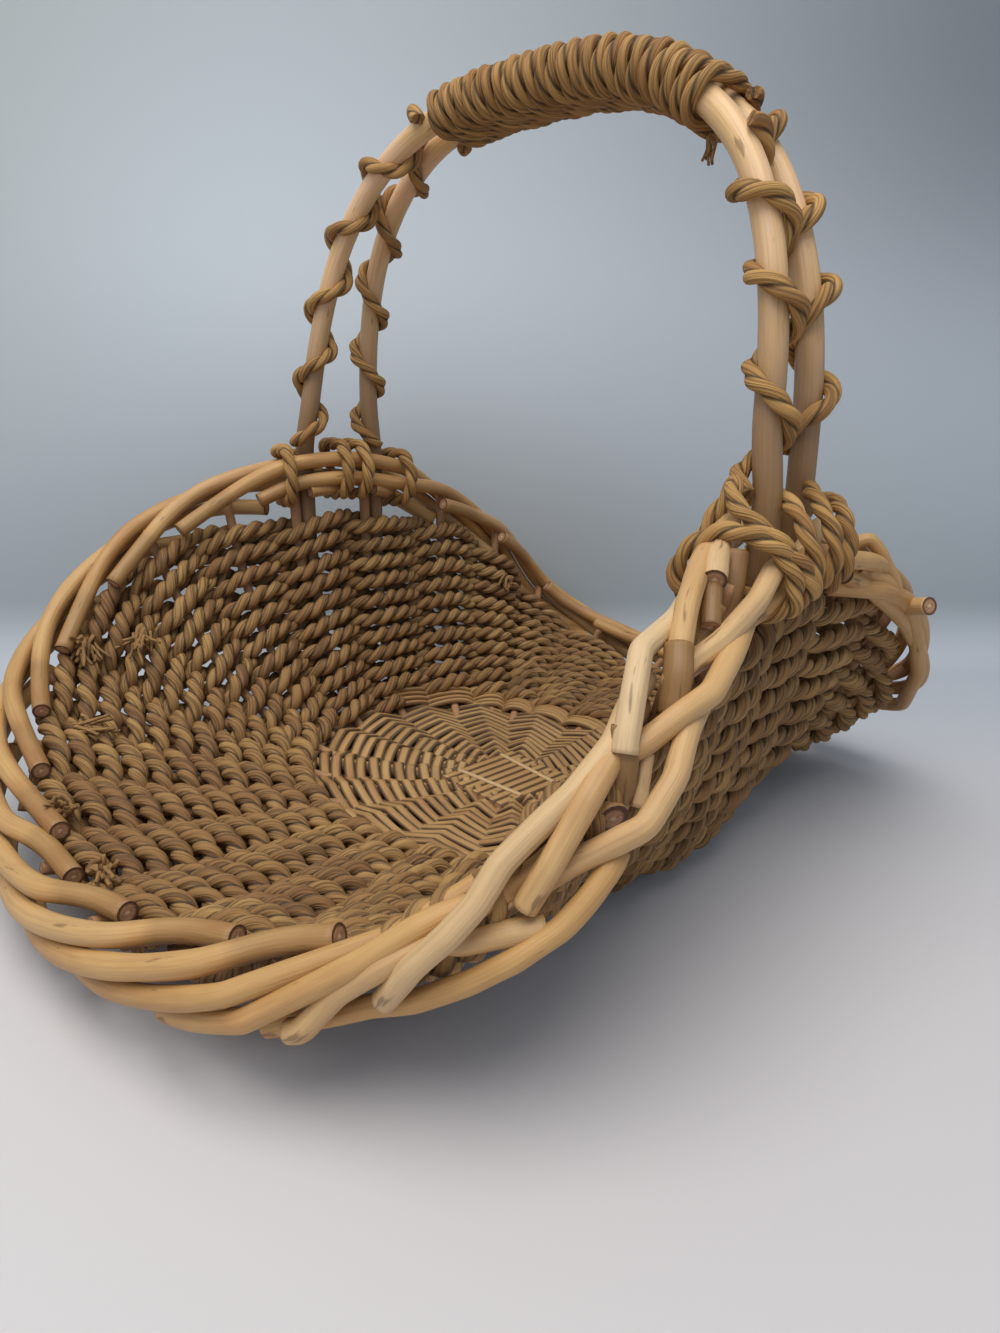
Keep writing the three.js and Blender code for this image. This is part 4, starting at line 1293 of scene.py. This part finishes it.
# %% Wedge
# The uprights at which the strips below the first rope begin, row by row downward.
WEDGE_BEGINS = (3, 8, 14, 20)
WEDGE_ROW_STEP = 3.4 * MM
WEDGE_WIDTH = 3.8 * MM
WEDGE_THICK = 2.6 * MM
WEDGE_LIFT = 0.1
WEDGE_JOLT = 0.2 * MM
WEDGE_PAST = 0.3


def wedge_strip(row, begin, side):
    count = np.arange(begin, len(uprights) + WEDGE_PAST, COUNT_STEP * 2)
    lowered = ROPE_RADIUS + row * WEDGE_ROW_STEP
    line = twined_line(side, count, lowered, WEDGE_THICK / 2, WEDGE_LIFT, WEDGE_JOLT)[0]
    return flat_strip(line, WEDGE_WIDTH, WEDGE_THICK)


wedge = [wedge_strip(row, begin, side) for row, begin in enumerate(WEDGE_BEGINS) for side in (1, -1)]
joined("wedge_strips", wedge, split_willow, ["base_mat"])
print("strips in the wedge:", len(wedge))

# %% [markdown]
# ## Floor and light
# The basket stands on a pale sheet that sweeps up into a blue-grey backdrop, under one large soft
# lamp from above, a weak one from the left and a bluish room.

# %% Floor and backdrop
WALL_AWAY = 240 * MM
COVE_RADIUS = 50 * MM
COVE_STEPS = 12
SHEET_HALF = 3.0
SHEET_FRONT = 2.0
SHEET_TOP = 2.0
WALL_NORMAL = unit(np.array([0.582, 0.813, 0]))


def sheet_finish():
    """Pale floor that turns blue-grey up the backdrop, with painted shade in the cove, towards the
    top and at both sides of the backdrop.
    """
    made, surface, place = shade_of("backdrop_sheet")
    x, y, height = place.split()
    away = x * WALL_NORMAL[0] + y * WALL_NORMAL[1]
    right = x * WALL_NORMAL[1] - y * WALL_NORMAL[0]
    colour = away.between(-0.25, 0.24).blend(sRGB(206, 201, 201), sRGB(180, 184, 191))
    # Painted shade low in the cove, where the floor turns up into the backdrop.
    colour = height.between(0.0, 0.05).blend(colour, sRGB(164, 170, 174))
    colour = height.between(0.03, 0.3).blend(colour, sRGB(206, 213, 220))
    # Painted shade towards the top of the backdrop.
    colour = (height.between(0.26, 0.48) * 0.6).blend(colour, sRGB(150, 158, 158))
    # Painted shade on the left of the backdrop.
    colour = (right.between(-0.1, -0.5) * height.between(0.05, 0.3) * 0.8).blend(colour, sRGB(148, 153, 144))
    # Painted shade on the right of the backdrop, stronger higher up.
    corner_shade = right.between(-0.1, 0.45) * height.between(0.05, 0.5)
    colour = (corner_shade * 0.95).blend(colour, sRGB(116, 120, 128))
    made.node_tree.links.new(colour.socket, surface.inputs["Base Color"])
    surface.inputs["Roughness"].default_value = 0.9
    return made


def backdrop_sheet():
    arc = [(WALL_AWAY - COVE_RADIUS * (1 - math.sin(a)), COVE_RADIUS * (1 - math.cos(a)))
           for a in np.linspace(0, math.pi / 2, COVE_STEPS)]
    section = [(-SHEET_FRONT, 0), *arc, (WALL_AWAY, SHEET_TOP)]
    sideways = Vector((WALL_NORMAL[1], -WALL_NORMAL[0], 0))
    corners = [Vector(WALL_NORMAL) * away + Vector((0, 0, height)) + sideways * reach
               for away, height in section for reach in (-SHEET_HALF, SHEET_HALF)]
    mesh = bpy.data.meshes.new("backdrop_sheet")
    mesh.from_pydata(corners, [], [(k, k + 1, k + 3, k + 2) for k in range(0, len(corners) - 2, 2)])
    mesh.shade_smooth()
    mesh.materials.append(sheet_finish())
    sheet = added("backdrop_sheet", mesh)


backdrop_sheet()


# %% Lamps
def soft_lamp(name, place, aim, size, power, colour):
    data = bpy.data.lights.new(name, "AREA")
    data.shape = "DISK"
    data.size = size
    data.energy = power
    data.color = colour
    lamp = added(name, data)
    turn = (Vector(aim) - Vector(place)).to_track_quat("-Z", "Y").to_matrix().to_4x4()
    lamp.matrix_world = Matrix.Translation(place) @ turn


soft_lamp("key", (-0.44, -0.20, 1.34), (0, 0, 0.1), 1.3, 16.6, (1, 0.97, 0.92))
soft_lamp("fill", (-1.1, -0.2, 0.8), (-0.1, 0, 0.1), 1.0, 1.4, (1, 0.99, 0.98))
world = bpy.data.worlds.new("room")
world.use_nodes = True
world.node_tree.nodes["Background"].inputs["Color"].default_value = (0.70, 0.84, 1.0, 1)
world.node_tree.nodes["Background"].inputs["Strength"].default_value = 0.48
bpy.context.scene.world = world
bpy.context.scene.view_settings.view_transform = "Standard"
